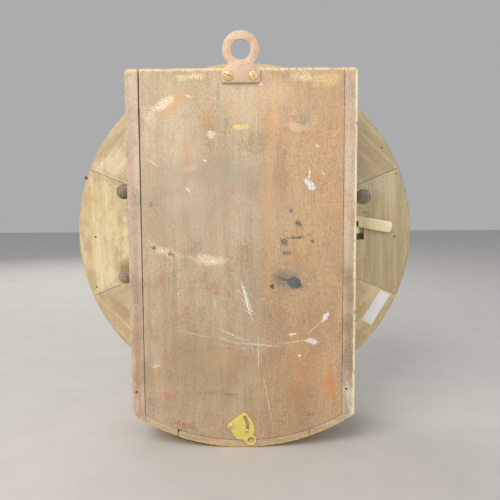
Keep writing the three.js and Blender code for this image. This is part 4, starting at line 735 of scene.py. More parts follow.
@dataclass(frozen=True)
class Wood(Finish):
    """Bare old wood: a grain, broad changes of tone, grime, marks and worn edges."""

    pale: Colour
    deep: Colour
    grain: Grain = Grain.UP
    turn: float = 0.0  # a further turn of the grain about Y in degrees
    fineness: float = 1.0
    figure: float = 0.5  # how strong the broad streaks are
    grime: Colour = (120, 98, 80)
    dirt: float = 0.35
    warm: Colour | None = None  # a second tone on the -X side
    mottle: float = 0.5  # how blotched it is
    grit: float = 0.8  # how speckled it is
    stain: Colour = (202, 158, 122)
    bloom: Colour = (176, 166, 150)
    rough: float = 0.72
    marks: tuple[Mark, ...] = ()
    wears: tuple[Wear, ...] = ()

    def lay(self, coat: Coat) -> None:
        """Lay up the grain, the tones and the wear.

        Args:
            coat: The material.
        """
        x, y, z = self.grain.value
        lined = coat.mapped(coat.mm, turn=(x, y + self.turn, z))
        fine = 1.1 * self.fineness
        fibres = coat.stretched(lined, (fine, fine, 0.035), 6.0, 0.62)
        streaks = coat.stretched(lined, (0.11, 0.11, 0.0045), 4.0, 0.6, 0.6)
        pores = coat.stretched(lined, (2.6, 2.6, 0.14), 2.0, 0.5)
        broad = coat.stretched(coat.mm, (0.013, 0.013, 0.009), 3.0, 0.5)
        blots = coat.stretched(coat.mm, (0.045, 0.045, 0.03), 5.0, 0.68, at=(31.0, 7.0, 12.0))
        clouds = coat.stretched(coat.mm, (0.06, 0.06, 0.04), 5.0, 0.7, at=(-55.0, 3.0, 80.0))
        specks = coat.noise(coat.mapped(coat.mm, scale=(1.0, 1.0, 0.6)), 0.6, 4.0, 0.8)
        lines = coat.ranged(streaks, 0.34, 0.68, 0.0, self.figure * 1.6)
        colour = coat.mixed(lines, self.pale, self.deep)
        if self.warm:
            side = coat.plus(coat.apart("X"), coat.swing(streaks, 8.0))
            step = coat.ranged(side, -11.0, -19.0, 0.0, 0.5)
            slope = coat.ranged(side, 20.0, -80.0, 0.0, 0.4)
            share = coat.times(coat.plus(step, slope), coat.ranged(fibres, 0.2, 0.7, 0.6, 1.0))
            colour = coat.mixed(share, colour, self.warm)
        for pattern, start, end, share, tint, way in (
            (blots, 0.47, 0.66, 0.75 * self.mottle, self.stain, "MIX"),
            (clouds, 0.49, 0.68, 0.75 * self.mottle, self.bloom, "MIX"),
            (fibres, 0.42, 0.66, 0.2, self.grime, "MULTIPLY"),
            (broad, 0.42, 0.72, self.dirt, self.grime, "MIX"),
            (pores, 0.60, 0.72, 0.2, self.grime, "MULTIPLY"),
            (specks, 0.54, 0.66, 0.55 * self.grit, CHALK, "MIX"),
            (specks, 0.46, 0.33, 0.6 * self.grit, self.grime, "MULTIPLY"),
        ):
            colour = coat.mixed(coat.ranged(pattern, start, end, 0.0, share), colour, tint, way)
        for mark in self.marks:
            colour = mark.laid(coat, colour)
        for wear in self.wears:
            colour = wear.laid(coat, colour)
        coat.set(Base_Color=colour)
        coat.set(Roughness=coat.ranged(broad, 0.3, 0.7, self.rough - 0.1, self.rough + 0.12))
        coat.set(Specular_IOR_Level=0.28)
        coat.bump(fibres, 0.16, 0.55)
        coat.bump(pores, 0.12, 0.4)
        coat.bump(coat.noise(coat.mm, 0.06, 3.0), 0.5, 0.35)


@dataclass(frozen=True)
class Metal(Finish):
    """Worked metal with fine lines, clouds of tarnish and, where it is iron, rust."""

    colour: Colour
    tarnish: Colour
    share: float = 0.35  # how much tarnish or rust there is
    rough: float = 0.34
    lines: Place = (0.2, 0.2, 6.0)  # how the tool's lines are stretched
    pitted: float = 0.0
    metallic: float = 1.0

    def lay(self, coat: Coat) -> None:
        """Lay up the metal, its tarnish and its tool lines.

        Args:
            coat: The material.
        """
        clouds = coat.noise(coat.mm, 0.16, 6.0, 0.65, 0.4)
        specks = coat.noise(coat.mm, 1.3, 4.0, 0.6)
        lines = coat.stretched(coat.mm, self.lines, 3.0, 0.6)
        both = coat.plus(coat.times(clouds, 0.7), coat.times(specks, 0.3))
        level = 0.62 - 0.25 * self.share
        mask = coat.ranged(both, level, level + 0.12)
        colour = coat.mixed(coat.times(mask, 0.9), self.colour, self.tarnish)
        colour = coat.mixed(coat.ranged(lines, 0.4, 0.8, 0.0, 0.25), colour, self.tarnish)
        coat.set(Base_Color=colour)
        dull = coat.ranged(mask, 0.0, 1.0, self.rough, min(1.0, self.rough + 0.28))
        coat.set(Roughness=coat.plus(dull, coat.ranged(lines, 0.3, 0.8, -0.05, 0.08)))
        under_rust = self.metallic * (1 - 0.6 * self.pitted)
        coat.set(Metallic=coat.ranged(mask, 0.0, 1.0, self.metallic, under_rust))
        coat.bump(lines, 0.03, 0.35)
        if self.pitted:
            coat.bump(specks, 0.25 * self.pitted, 0.6)


@dataclass(frozen=True)
class Enamel(Finish):
    """Old paint on metal: even, a little yellowed and crazed, with foxing near its edge."""

    colour: Colour
    aged: Colour
    rough: float = 0.42

    def lay(self, coat: Coat) -> None:
        """Lay up the paint and its age.

        Args:
            coat: The material.
        """
        clouds = coat.noise(coat.mm, 0.02, 5.0, 0.6)
        radius = coat.length(coat.mapped(coat.mm, scale=(1.0, 0.0, 1.0)))
        foxed = coat.ranged(radius, 120.0, 149.0, 0.0, 0.4)
        share = coat.plus(coat.ranged(clouds, 0.35, 0.75, 0.0, 0.5), foxed)
        colour = coat.mixed(share, self.colour, self.aged)
        specks = coat.noise(coat.mm, 0.5, 3.0, 0.7)
        dots = coat.ranged(specks, 0.68, 0.76, 0.0, 0.5)
        colour = coat.mixed(dots, colour, self.aged, "MULTIPLY")
        coat.set(Base_Color=colour, Roughness=self.rough, Specular_IOR_Level=0.5)
        coat.bump(coat.noise(coat.mm, 0.12, 4.0), 0.08, 0.4)


@dataclass(frozen=True)
class Glass(Finish):
    """Clear window glass."""

    colour: Colour = (246, 250, 249)

    def lay(self, coat: Coat) -> None:
        """Lay up the glass.

        Args:
            coat: The material.
        """
        coat.set(
            Base_Color=linear(self.colour), Roughness=0.03, IOR=1.45,
            Transmission_Weight=1.0, Alpha=0.35,
        )
        coat.bump(coat.noise(coat.mm, 0.015, 2.0), 0.3, 0.15)


@dataclass(frozen=True)
class Paper(Finish):
    """Bare gummed paper, a little curled and handled."""

    colour: Colour = (255, 255, 255)
    handled: Colour = (238, 240, 238)

    def lay(self, coat: Coat) -> None:
        """Lay up the paper.

        Args:
            coat: The material.
        """
        clouds = coat.noise(coat.mm, 0.2, 5.0, 0.6)
        colour = coat.mixed(coat.ranged(clouds, 0.5, 0.8, 0.0, 0.6), self.colour, self.handled)
        coat.set(Base_Color=colour, Roughness=0.62)
        coat.bump(coat.noise(coat.mm, 0.9, 3.0), 0.04, 0.4)


BACK_MARKS = (
    # painted light: these two make the top and upper left of the back lighter, where light from above
    # falls
    Mark("painted light at the top", (-10, 134), (116, 34), (240, 214, 180), 0, 0.45, 0.9, 0.25, 1.0),
    Mark("painted light upper left", (62, 84), (34, 90), (234, 216, 188), 0, 0.4, 0.9, 0.25, 1.0),
    Mark("grey bloom on the left", (52, 30), (60, 130), (186, 172, 152), 90, 0.45, 0.7, 0.0, 0.9),
    Mark("olive bloom in the middle", (20, 60), (26, 70), (176, 166, 144), 90, 0.5, 0.7, 0.0, 0.9),
    # painted shade: this makes the back darker towards its lower left
    Mark("painted shade at the low left", (40, -120), (70, 60), (170, 142, 114), 10, 0.5, 0.7, 0.0, 0.9),
    Mark("rusty glow top left", (60, 128), (26, 12), (222, 176, 130), -34, 0.6, 0.8, 0.0, 0.9),
    Mark("rusty glow left", (50, 80), (30, 9), (214, 172, 132), 82, 0.5, 0.8, 0.0, 0.9),
    Mark("golden top right", (-78, 146), (18, 9), (240, 206, 150), -8, 0.7, 0.8, 0.1, 0.9),
    Mark("pale strip by the middle", (-29, 100), (46, 7), (228, 184, 138), 93, 0.6, 0.9, 0.2, 1.0),
    Mark("curl of grain", (-32, 112), (18, 5), (234, 188, 140), 80, 0.5, 0.9, 0.2, 0.8),
    Mark("pale strip lower", (-25, 20), (90, 5), (220, 172, 124), 91, 0.6, 0.9, 0.2, 0.9),
    Mark("darker grain", (-36, 60), (40, 9), (176, 138, 110), 88, 0.4, 0.7, 0.0, 0.9),
    Mark("orange low right", (-84, -142), (20, 10), (222, 148, 92), 90, 0.7, 0.8, 0.0, 0.9),
    Mark("orange lower right", (-54, -126), (72, 32), (206, 150, 98), 90, 0.5, 0.9, 0.3, 1.0),
    Mark("orange below the middle", (24, -118), (30, 14), (206, 164, 122), 0, 0.4, 0.8, 0.0, 0.9),
    Mark("red rub low left", (57, -180), (22, 7), (172, 104, 84), 24, 0.75, 0.9, 0.4, 0.8),
    Mark("red rub on the left", (73, -151), (11, 6), (214, 140, 112), 20, 0.8, 0.9, 0.3, 0.8),
    Mark("red streak low", (12, -150), (10, 1.6), (168, 92, 70), -4, 0.6, 0.8, 0.3, 0.7),
    Mark("chalk smear top left", (76, 121), (22, 6.4), (248, 236, 206), -32, 1.0, 0.9, 0.3, 0.7),
    Mark("chalk haze top left", (84, 112), (12, 9), (240, 222, 190), 60, 0.85, 0.9, 0.5, 0.8),
    Mark("chalk tail top left", (87, 92), (14, 4), (236, 216, 182), 90, 0.55, 0.9, 0.5, 0.8),
    Mark("chalk below the edge, left", (46, 149), (18, 5), (246, 228, 184), 0, 0.85, 0.9, 0.3, 0.8),
    Mark("chalk below the edge, right", (-58, 148), (16, 7), (250, 232, 188), 0, 0.85, 0.9, 0.35, 0.8),
    Mark("cream spot", (28, 97), (5.4, 4.6), (246, 232, 200), 0, 0.9, 0.9, 0.2, 0.8),
    Mark("yellow smear", (0.5, 103.5), (10, 3), (240, 214, 136), 2, 1.0, 0.7, 0.15, 0.5),
    Mark("cream dash", (48, 131), (4, 1.6), (244, 226, 188), 30, 0.9, 0.8, 0.2, 0.6),
    Mark("dull patch left", (48, 66), (8, 5), (228, 204, 172), -30, 0.6, 0.9, 0.4, 0.8),
    Mark("haze right", (-50, 103), (13, 6), (240, 208, 176), 10, 0.75, 0.9, 0.3, 0.8),
    Mark("spotted right", (-66, 108), (7, 14), (232, 204, 178), 20, 0.6, 0.9, 0.6, 0.8),
    Mark("white chip right", (-63, 50), (7.5, 4), (238, 242, 240), 40, 1.0, 0.9, 0.2, 0.4),
    Mark("white chip right, top", (-63, 60), (5.0, 1.1), (238, 242, 240), 98, 1.0, 0.9, 0.2, 0.4),
    Mark("white chip right, small", (-70, 86), (2.4, 1.6), (240, 236, 226), 60, 0.95, 0.8, 0.1, 0.5),
    Mark("white chip far right", (-76, 60), (2.2, 1.3), (240, 226, 190), 40, 0.95, 0.8, 0.1, 0.5),
    Mark("white dot left", (50, 46), (3.0, 1.2), (244, 242, 236), 50, 1.0, 0.9, 0.1, 0.5),
    Mark("white dot left, upper", (34, 73), (2.2, 1.3), (242, 234, 190), 20, 0.95, 0.7, 0.1, 0.5),
    Mark("scratch upper left", (82, 71), (10, 0.8), (244, 224, 190), 35, 0.9, 0.5, 0.3, 0.6),
    Mark("scratch far right", (-88, 98), (8, 0.6), (238, 214, 180), -52, 0.8, 0.5, 0.3, 0.6),
    Mark("scratch right", (-14, 71), (20, 0.5), (232, 204, 170), -8, 0.6, 0.4, 0.4, 0.6),
    Mark("pale tide, left", (75, -10), (19, 7), (242, 228, 196), 16, 1.0, 0.9, 0.3, 0.8),
    Mark("pale tide, middle", (32, -20), (20, 7), (240, 224, 192), 8, 0.95, 0.9, 0.35, 0.8),
    Mark("pale tide, middle spot", (28, -21), (5, 4), (246, 234, 206), 0, 0.95, 0.9, 0.2, 0.8),
    Mark("pale tide, between", (54, -16), (14, 3), (228, 208, 178), 10, 0.6, 0.9, 0.4, 0.8),
    Mark("upright smear", (26, -62), (14, 1.8), (226, 208, 178), 86, 0.6, 0.9, 0.4, 0.8),
    Mark("ink stain", (-49, -41), (9.0, 7.4), (86, 96, 104), 40, 1.0, 0.9, 0.0, 0.4),
    Mark("ink stain's halo", (-45, -40), (21, 11), (124, 118, 110), 10, 0.7, 0.9, 0.1, 0.8),
    Mark("ink stain's tail", (-39, -38), (8, 2.2), (112, 106, 102), 20, 0.9, 0.9, 0.1, 0.7),
    Mark("ink drop", (-28, -45), (2.4, 3), (104, 84, 70), 0, 0.95, 0.8, 0.0, 0.5),
    Mark("ink specks, upper", (-50, 1), (9, 1.6), (96, 96, 96), -2, 0.95, 0.9, 0.25, 0.5),
    Mark("ink specks, top", (-53, 14), (4.0, 3.4), (98, 98, 98), 0, 0.9, 0.9, 0.1, 0.5),
    Mark("ink specks, top right", (-46, 26), (2.0, 2.6), (118, 112, 106), 0, 0.8, 0.9, 0.1, 0.5),
    Mark("ink specks, left", (-39, -3), (4.0, 5.2), (104, 98, 94), 10, 0.9, 0.9, 0.2, 0.5),
    Mark("ink specks, lower", (-42, -14), (7, 3), (108, 102, 98), 0, 0.9, 0.9, 0.4, 0.5),
    Mark("ink specks, right", (-66, -2), (2, 2.4), (100, 98, 96), 0, 0.9, 0.9, 0.1, 0.5),
    Mark("ink specks, low right", (-64, -170), (5, 1.6), (112, 92, 80), 0, 0.7, 0.9, 0.4, 0.5),
    Mark("ink drops far left", (85, 33), (3, 3.4), (128, 124, 120), 0, 0.7, 0.9, 0.2, 0.6),
    Mark("ink drops left", (83, -8), (3, 2.2), (112, 116, 116), 0, 0.85, 0.9, 0.1, 0.5),
    Mark("ink drops left, lower", (67, -14), (4, 2.6), (112, 112, 108), 30, 0.85, 0.9, 0.2, 0.5),
    Mark("long scratch, upper", (-3, -56), (21.5, 1.3), (248, 244, 230), 76, 1.0, 0.5, 0.1, 0.6),
    Mark("long scratch, second line", (-5.5, -58), (15, 0.6), (242, 234, 212), 74, 0.9, 0.5, 0.2, 0.6),
    Mark("long scratch, barbs", (-6, -66), (7, 1.6), (242, 236, 222), 50, 0.95, 0.9, 0.4, 0.6),
    Mark("long scratch, lower", (-14.6, -108), (25, 0.6), (242, 228, 196), 89, 0.95, 0.35, 0.2, 0.6),
    Mark("long scratch, end", (-23.5, -155), (38, 0.6), (238, 222, 188), 79.6, 0.85, 0.35, 0.3, 0.6),
    Mark("split by the middle", (-14.4, -150), (46, 0.6), (222, 178, 132), 90, 0.8, 0.25, 0.1, 0.6),
    Mark("wiped arc, left", (44, -91), (28, 1.0), (226, 208, 178), 13.8, 0.65, 0.5, 0.4, 0.8),
    Mark("wiped arc, middle", (11, -91), (19, 1.6), (240, 228, 204), 25, 0.9, 0.7, 0.4, 0.8),
    Mark("wiped arc, middle low", (14, -97), (22, 1.4), (232, 216, 190), 18, 0.8, 0.7, 0.5, 0.8),
    Mark("wiped arc, right", (-14, -101), (32, 1.4), (238, 226, 204), 5, 0.85, 0.6, 0.4, 0.8),
    Mark("wiped arc, far right", (-52, -98), (24, 1.0), (234, 222, 200), -8, 0.8, 0.7, 0.4, 0.7),
    Mark("wiped arc, wide band", (-8, -97), (52, 6), (222, 206, 184), 7, 0.45, 0.8, 0.7, 0.9),
    Mark("wiped arc, upper", (34, -82), (34, 0.8), (224, 208, 182), 16, 0.6, 0.5, 0.5, 0.8),
    Mark("wiped arc, lower", (0, -104), (40, 0.7), (232, 218, 194), 7, 0.65, 0.5, 0.5, 0.8),
    Mark("wiped arc, lowest", (6, -109), (30, 0.6), (226, 210, 184), 8, 0.5, 0.5, 0.5, 0.8),
    Mark("long scratch, first barb", (2, -51), (5, 0.5), (244, 238, 222), 48, 0.9, 0.5, 0.2, 0.6),
    Mark("long scratch, second barb", (-2, -59), (6, 0.6), (246, 242, 228), 36, 0.95, 0.5, 0.2, 0.6),
    Mark("long scratch, third barb", (-6, -70), (6, 0.6), (246, 242, 228), 30, 0.95, 0.5, 0.2, 0.6),
    Mark("long scratch, fourth barb", (-9, -76), (5, 0.5), (240, 234, 216), 44, 0.85, 0.5, 0.2, 0.6),
    Mark("short scratch", (-8, -66), (16, 0.5), (226, 208, 180), 88, 0.6, 0.4, 0.4, 0.6),
    Mark("white chip low right", (-78, -75), (6.4, 2.6), (242, 242, 238), -52, 1.0, 0.9, 0.1, 0.4),
    Mark("comet's tail", (-69, -84), (12, 1.2), (232, 212, 184), -42, 0.7, 0.7, 0.4, 0.7),
    Mark("white smear low right", (-66.5, -98), (7, 3.6), (242, 240, 234), 14, 1.0, 0.9, 0.2, 0.5),
    Mark("white dash low right", (-47, -91), (5.5, 1.2), (242, 236, 222), -6, 0.95, 0.8, 0.1, 0.5),
    Mark("white dot low right", (-54, -112), (2.2, 1.8), (242, 240, 234), 0, 1.0, 0.7, 0.1, 0.5),
    Mark("dot low left", (84, -122), (5.5, 1.8), (236, 228, 208), -18, 0.8, 0.9, 0.3, 0.6),
    Mark("dark figure low", (34, -148), (26, 5), (152, 112, 90), -3, 0.35, 0.8, 0.2, 0.9),
    Mark("white blob by the plate", (-17.6, 142.6), (2.6, 2.2), (252, 246, 232), 0, 1.0, 0.7, 0.0, 0.4),
    Mark("blue bloom by the plate", (21, 134), (18, 3), (164, 160, 148), 90, 0.6, 0.8, 0.1, 0.9),
    Mark("shade round the plate", (0, 146), (24, 9), (178, 156, 134), 0, 0.45, 0.7, 0.0, 0.8),
)


SEGMENT_MARKS: dict[int, tuple[Mark, ...]] = {
    1: (
        Mark("bright rub", (150, 14), (17, 10), (255, 240, 192), 80, 0.7, 0.8, 0.2, 0.8, REAR),
        # painted shadow: a darker patch where the lower peg's shadow falls on the segment
        Mark("painted shadow of the lower peg", (131, -46), (24, 17), (176, 146, 106), 84, 0.95, 0.4, 0.0, 0.6, REAR),
        Mark("brown by the rim", (180, -14), (16, 7), (190, 166, 140), 84, 0.7, 0.8, 0.1, 0.8, REAR),
        Mark("dark dots", (150, 60), (24, 8), (176, 148, 104), 12, 0.6, 0.9, 0.6, 0.6, REAR),
        Mark("knot by the peg", (139, 52), (4.4, 2.4), (150, 134, 100), -20, 0.9, 0.8, 0.3, 0.5, REAR),
        Mark("rust round a nail", (179.5, 63.2), (3, 2.4), (150, 110, 84), 0, 0.8, 0.7, 0.0, 0.7, REAR),
    ),
    2: (Mark("soot", (150, 100), (34, 12), (172, 150, 116), 132, 0.45, 0.8, 0.3, 0.8, REAR),),
    5: (
        Mark("rubbed patch", (-148, 32), (20, 10), (178, 160, 124), 100, 0.5, 0.8, 0.1, 0.8, REAR),
        Mark("dent", (-137, 22), (4.5, 2.4), (128, 118, 100), 20, 0.7, 0.6, 0.3, 0.6, REAR),
    ),
    8: (Mark("grey rub", (140, -90), (30, 10), (176, 158, 128), -136, 0.5, 0.8, 0.3, 0.8, REAR),),
}

# the pale and the deep tone of the segments that differ from the others
OLIVE = ((228, 212, 172), (194, 178, 140))
PINES: dict[int, tuple[Colour, Colour]] = {
    1: ((255, 246, 206), (240, 216, 168)),
    4: OLIVE,
    5: OLIVE,
    6: ((246, 230, 180), (222, 200, 148)),
}


@dataclass(frozen=True)
class Finishes:
    """The finishes of the clock's pieces."""

    back: Wood = Wood(
        "back board", (214, 194, 162), (186, 162, 130), figure=0.35, warm=(214, 172, 128),
        grime=(146, 128, 106), dirt=0.35, mottle=0.85, stain=(202, 158, 116), bloom=(170, 160, 138),
        marks=BACK_MARKS,
        wears=(
            Wear(Edge.TOP, 153.0, 155.4, (242, 222, 182), 0.9, 0.25),
            Wear(Edge.FOOT, 191.6, 194.6, (238, 204, 110), 0.9, 0.3, 8.0),
        ),
    )
    side: Wood = Wood(
        "side boards", (226, 204, 180), (200, 174, 150), fineness=1.2, figure=0.4, mottle=0.8,
        grime=(146, 122, 104), dirt=0.3, stain=(198, 162, 134),
        marks=(
            Mark("plaster chip", (-103.4, -157), (17, 5.4), (228, 230, 204), 78, 1.0, 0.9, 0.15, 0.2),
            Mark("nail head low right", (-98.8, -144.6), (1.3, 1.3), SOOT, 0, 0.9, 0.4, 0.0, 0.4),
            Mark("nail head low left", (102.8, -147.0), (1.3, 1.3), SOOT, 0, 0.9, 0.4, 0.0, 0.4),
            Mark("filled slot", (102.5, -114), (4.6, 1.7), (226, 206, 170), 90, 0.8, 0.5, 0.3, 0.4),
            # painted shade: these three make the side boards darker towards the foot
            Mark("painted shade on the side, low right", (-101, -90), (100, 12), (158, 132, 108), 90, 0.85, 0.9, 0.1, 0.9),
            Mark("painted shade on the side, low left", (101, -120), (70, 10), (174, 140, 106), 90, 0.8, 0.9, 0.2, 0.9),
            Mark("painted shade on the side, left", (101, -48), (26, 9), (168, 138, 112), 90, 0.7, 0.9, 0.3, 0.9),
            Mark("rusty rub on the left", (102, 88), (40, 5), (196, 158, 132), 90, 0.5, 0.9, 0.3, 0.9),
            Mark("grey wipe left", (100.5, -20), (30, 3), (172, 160, 150), 90, 0.4, 0.8, 0.3, 0.8),
        ),
        wears=(
            Wear(Edge.SIDE, -104.2, -105.8, (246, 234, 192), 1.0, 0.08),
            Wear(Edge.SIDE, 105.0, 106.6, (232, 206, 164), 0.75, 0.5),
            Wear(Edge.TOP, 152.2, 155.2, (246, 220, 166), 0.95, 0.2),
            Wear(Edge.FOOT, 191.0, 194.6, (232, 200, 138), 0.8, 0.35),
        ),
    )
    top: Wood = Wood(
        "top board", (222, 200, 172), (190, 162, 134), Grain.ACROSS, figure=0.45,
        grime=(146, 124, 104),
    )
    foot: Wood = Wood(
        "foot boards", (216, 190, 158), (182, 150, 120), Grain.ACROSS, figure=0.45,
        grime=(146, 120, 98),
        wears=(Wear(Edge.FOOT, 192.4, 194.8, (238, 202, 96), 0.9, 0.4, 24.0),),
    )
    batten: Wood = Wood(
        "battens", (226, 204, 166), (196, 168, 126), figure=0.4, grime=(160, 136, 104)
    )
    peg: Wood = Wood(
        "pegs", (178, 164, 146), (116, 106, 98), Grain.ACROSS, figure=0.5, grime=(84, 74, 66),
        dirt=0.5, rough=0.5,
    )
    iron: Metal = Metal(
        "rusted iron", (220, 192, 166), (206, 166, 138), 0.45, 0.55, (0.3, 6.0, 0.3), 0.25, 0.25
    )
    screw: Metal = Metal(
        "screw heads", (246, 208, 160), (176, 128, 92), 0.25, 0.4, (0.3, 6.0, 0.3), 0.4, 0.5
    )
    brass: Metal = Metal(
        "steady plate brass", (252, 236, 132), (214, 186, 92), 0.3, 0.42, (5.0, 0.3, 0.4), 0.2, 0.55
    )
    pale_brass: Metal = Metal(
        "catch brass", (255, 248, 200), (232, 214, 150), 0.3, 0.4, (0.3, 0.3, 5.0), 0.1, 0.3
    )
    bezel: Metal = Metal(
        "bezel brass", (226, 190, 110), (150, 116, 62), 0.35, 0.3, (0.05, 6.0, 0.05)
    )
    works: Metal = Metal(
        "movement brass", (222, 190, 118), (148, 118, 70), 0.3, 0.3, (0.4, 0.4, 5.0)
    )
    steel: Metal = Metal("ground steel", (176, 178, 182), (104, 98, 92), 0.3, 0.32, (6.0, 0.4, 0.4))
    blued: Metal = Metal("blued steel", (34, 42, 66), (20, 20, 26), 0.25, 0.24, (0.3, 3.0, 0.3))
    nail: Metal = Metal(
        "old nails", (120, 96, 78), (84, 58, 42), 0.7, 0.6, (1.0, 1.0, 1.0), 1.0, 0.3
    )
    dial: Enamel = Enamel("painted dial", (240, 235, 220), (214, 200, 168))
    print: Enamel = Enamel("dial black", (26, 24, 24), (52, 46, 40), 0.5)
    glass: Glass = Glass("window glass")
    paper: Paper = Paper("bare label")

    def segment(self, number: int) -> Wood:
        """Return the pine of one of the surround's segments.

        Args:
            number: The segment's number, from 1 at +X and on towards +Z.

        Returns:
            Its finish, with the grain along the segment.
        """
        pale, deep = PINES.get(number, ((250, 236, 200), (228, 204, 162)))
        rim = tuple(max(0, c - 34) for c in deep)
        return Wood(
            f"pine of segment {number}", pale, deep, turn=45.0 * (number - 1), fineness=0.8,
            figure=0.65, grime=(164, 142, 108), dirt=0.3, rough=0.66, mottle=0.7, grit=0.3,
            stain=(206, 172, 122), bloom=(196, 186, 158), marks=SEGMENT_MARKS.get(number, ()),
            wears=(Wear(Edge.RIM, 186.5, 190.2, rim, 0.6, 0.3),),
        )


FINISHES = Finishes()


def foot_arc(start: float, end: float, radius: float = FOOT_RADIUS, steps: int = 24) -> list[Point]:
    """Return points of the foot's curve.

    Args:
        start: The x to start from.
        end: The x to end at.
        radius: The curve's radius.
        steps: The number of spans.

    Returns:
        The points from start to end.
    """
    first, last = (-math.degrees(math.acos(x / radius)) for x in (start, end))
    return around((0.0, FOOT_MIDDLE[2]), radius, first, last, steps)


@dataclass
class Box:
    """The box: side, top, back and foot boards, battens, and the dark pegs that lock it on."""

    half_width: float = 107.0
    side: float = 12.0
    depth: float = 112.0
    top: float = 156.5
    back: float = 9.0
    foot: float = 6.4
    corner: float = 4.0
    slit: float = 1.4
    slit_foot: float = 0.35  # the slit narrows to this at the foot
    gap: float = 0.3
    door_half: float = 63.8
    doorway: tuple[Place, Place] = ((90.0, -88.6, -150.6), (110.0, -21.4, -83.4))
    batten: float = 13.0
    batten_depth: float = 38.0
    batten_span: Point = (-80.0, 110.0)
    peg_y: float = -90.0
    peg_heights: tuple[tuple[str, float, float], ...] = (
        ("case_peg_right_1", 1, 47.0),
        ("case_peg_right_2", 1, -46.5),
        ("case_peg_left_1", -1, 39.6),
    )
    ball: float = 8.5
    reach: float = 24.0

    def side_board(self, sign: int) -> Work:
        """Return a side board, on +X for sign 1.

        Args:
            sign: 1 or -1.

        Returns:
            The board, before its edges are softened.
        """
        inner = self.half_width - self.side
        round_at = (self.half_width - self.corner, self.top - self.corner)
        outline = foot_arc(inner, self.half_width, steps=4)
        outline += around(round_at, self.corner, 0, 90, 6) + [(inner, self.top)]
        return Work().slab([(sign * x, z) for x, z in outline], 0.0, -self.depth)

    def boards(self) -> None:
        """Make the side, back and top boards."""
        inner = self.half_width - self.side
        right = self.side_board(1).carve(Work().box(*self.doorway))
        for name, board in (("side_board_right", right), ("side_board_left", self.side_board(-1))):
            board.soften(0.7).piece(name, FINISHES.side, "mahogany")
        outline = foot_arc(
            -inner + self.gap, inner - self.slit_foot, FOOT_RADIUS - self.foot - self.gap, 36
        )
        outline += [(inner - self.slit, self.top), (-inner + self.gap, self.top)]
        back = Work().slab(outline, 0.0, -self.back).soften(0.45)
        back.piece("backboard", FINISHES.back, "mahogany")
        top = Work().box((-inner, -self.depth, self.top - self.side), (inner, -self.back, self.top))
        top.soften(0.5).piece("top_board", FINISHES.top, "mahogany")

    def foot_boards(self) -> None:
        """Make the fixed boards beside the foot door."""
        inner = self.half_width - self.side
        for name, start, end in (
            ("foot_board_right", self.door_half, inner),
            ("foot_board_left", -inner, -self.door_half),
        ):
            outline = foot_arc(start, end, steps=8)
            outline += foot_arc(end, start, FOOT_RADIUS - self.foot, 8)
            board = Work().slab(outline, 0.0, -self.depth).soften(0.4)
            board.piece(name, FINISHES.foot, "mahogany")

    def battens(self) -> None:
        """Make the battens inside the side boards."""
        outer = self.half_width - self.side - self.gap
        low, high = self.batten_span
        for name, sign in (("batten_right", 1), ("batten_left", -1)):
            ends = sorted((sign * outer, sign * (outer - self.batten)))
            far = self.batten_depth - self.depth
            batten = Work().box((ends[0], -self.depth, low), (ends[1], far, high))
            batten.soften(0.8).piece(name, FINISHES.batten, "pine")

    def pegs(self) -> None:
        """Turn the pegs with their ball heads."""
        start = self.half_width - self.side - self.gap - self.batten
        middle = self.half_width + self.reach
        thick, thin, neck = 4.0, 3.2, 3.4
        side = self.half_width
        stem = [(0.0, start), (thin, start), (thick, side + 4), (neck, side + 9)]
        meet = math.degrees(math.asin(neck / self.ball))
        head = around((0.0, middle), self.ball, meet - 90, 90, 18)
        for name, sign, z in self.peg_heights:
            profile = [(r, sign * x) for r, x in stem + head]
            Work().turned(profile, Axis.X, (0.0, self.peg_y, z)).piece(name, FINISHES.peg, "ebony")

    def make(self) -> None:
        """Make the whole box."""
        self.boards()
        self.foot_boards()
        self.battens()
        self.pegs()


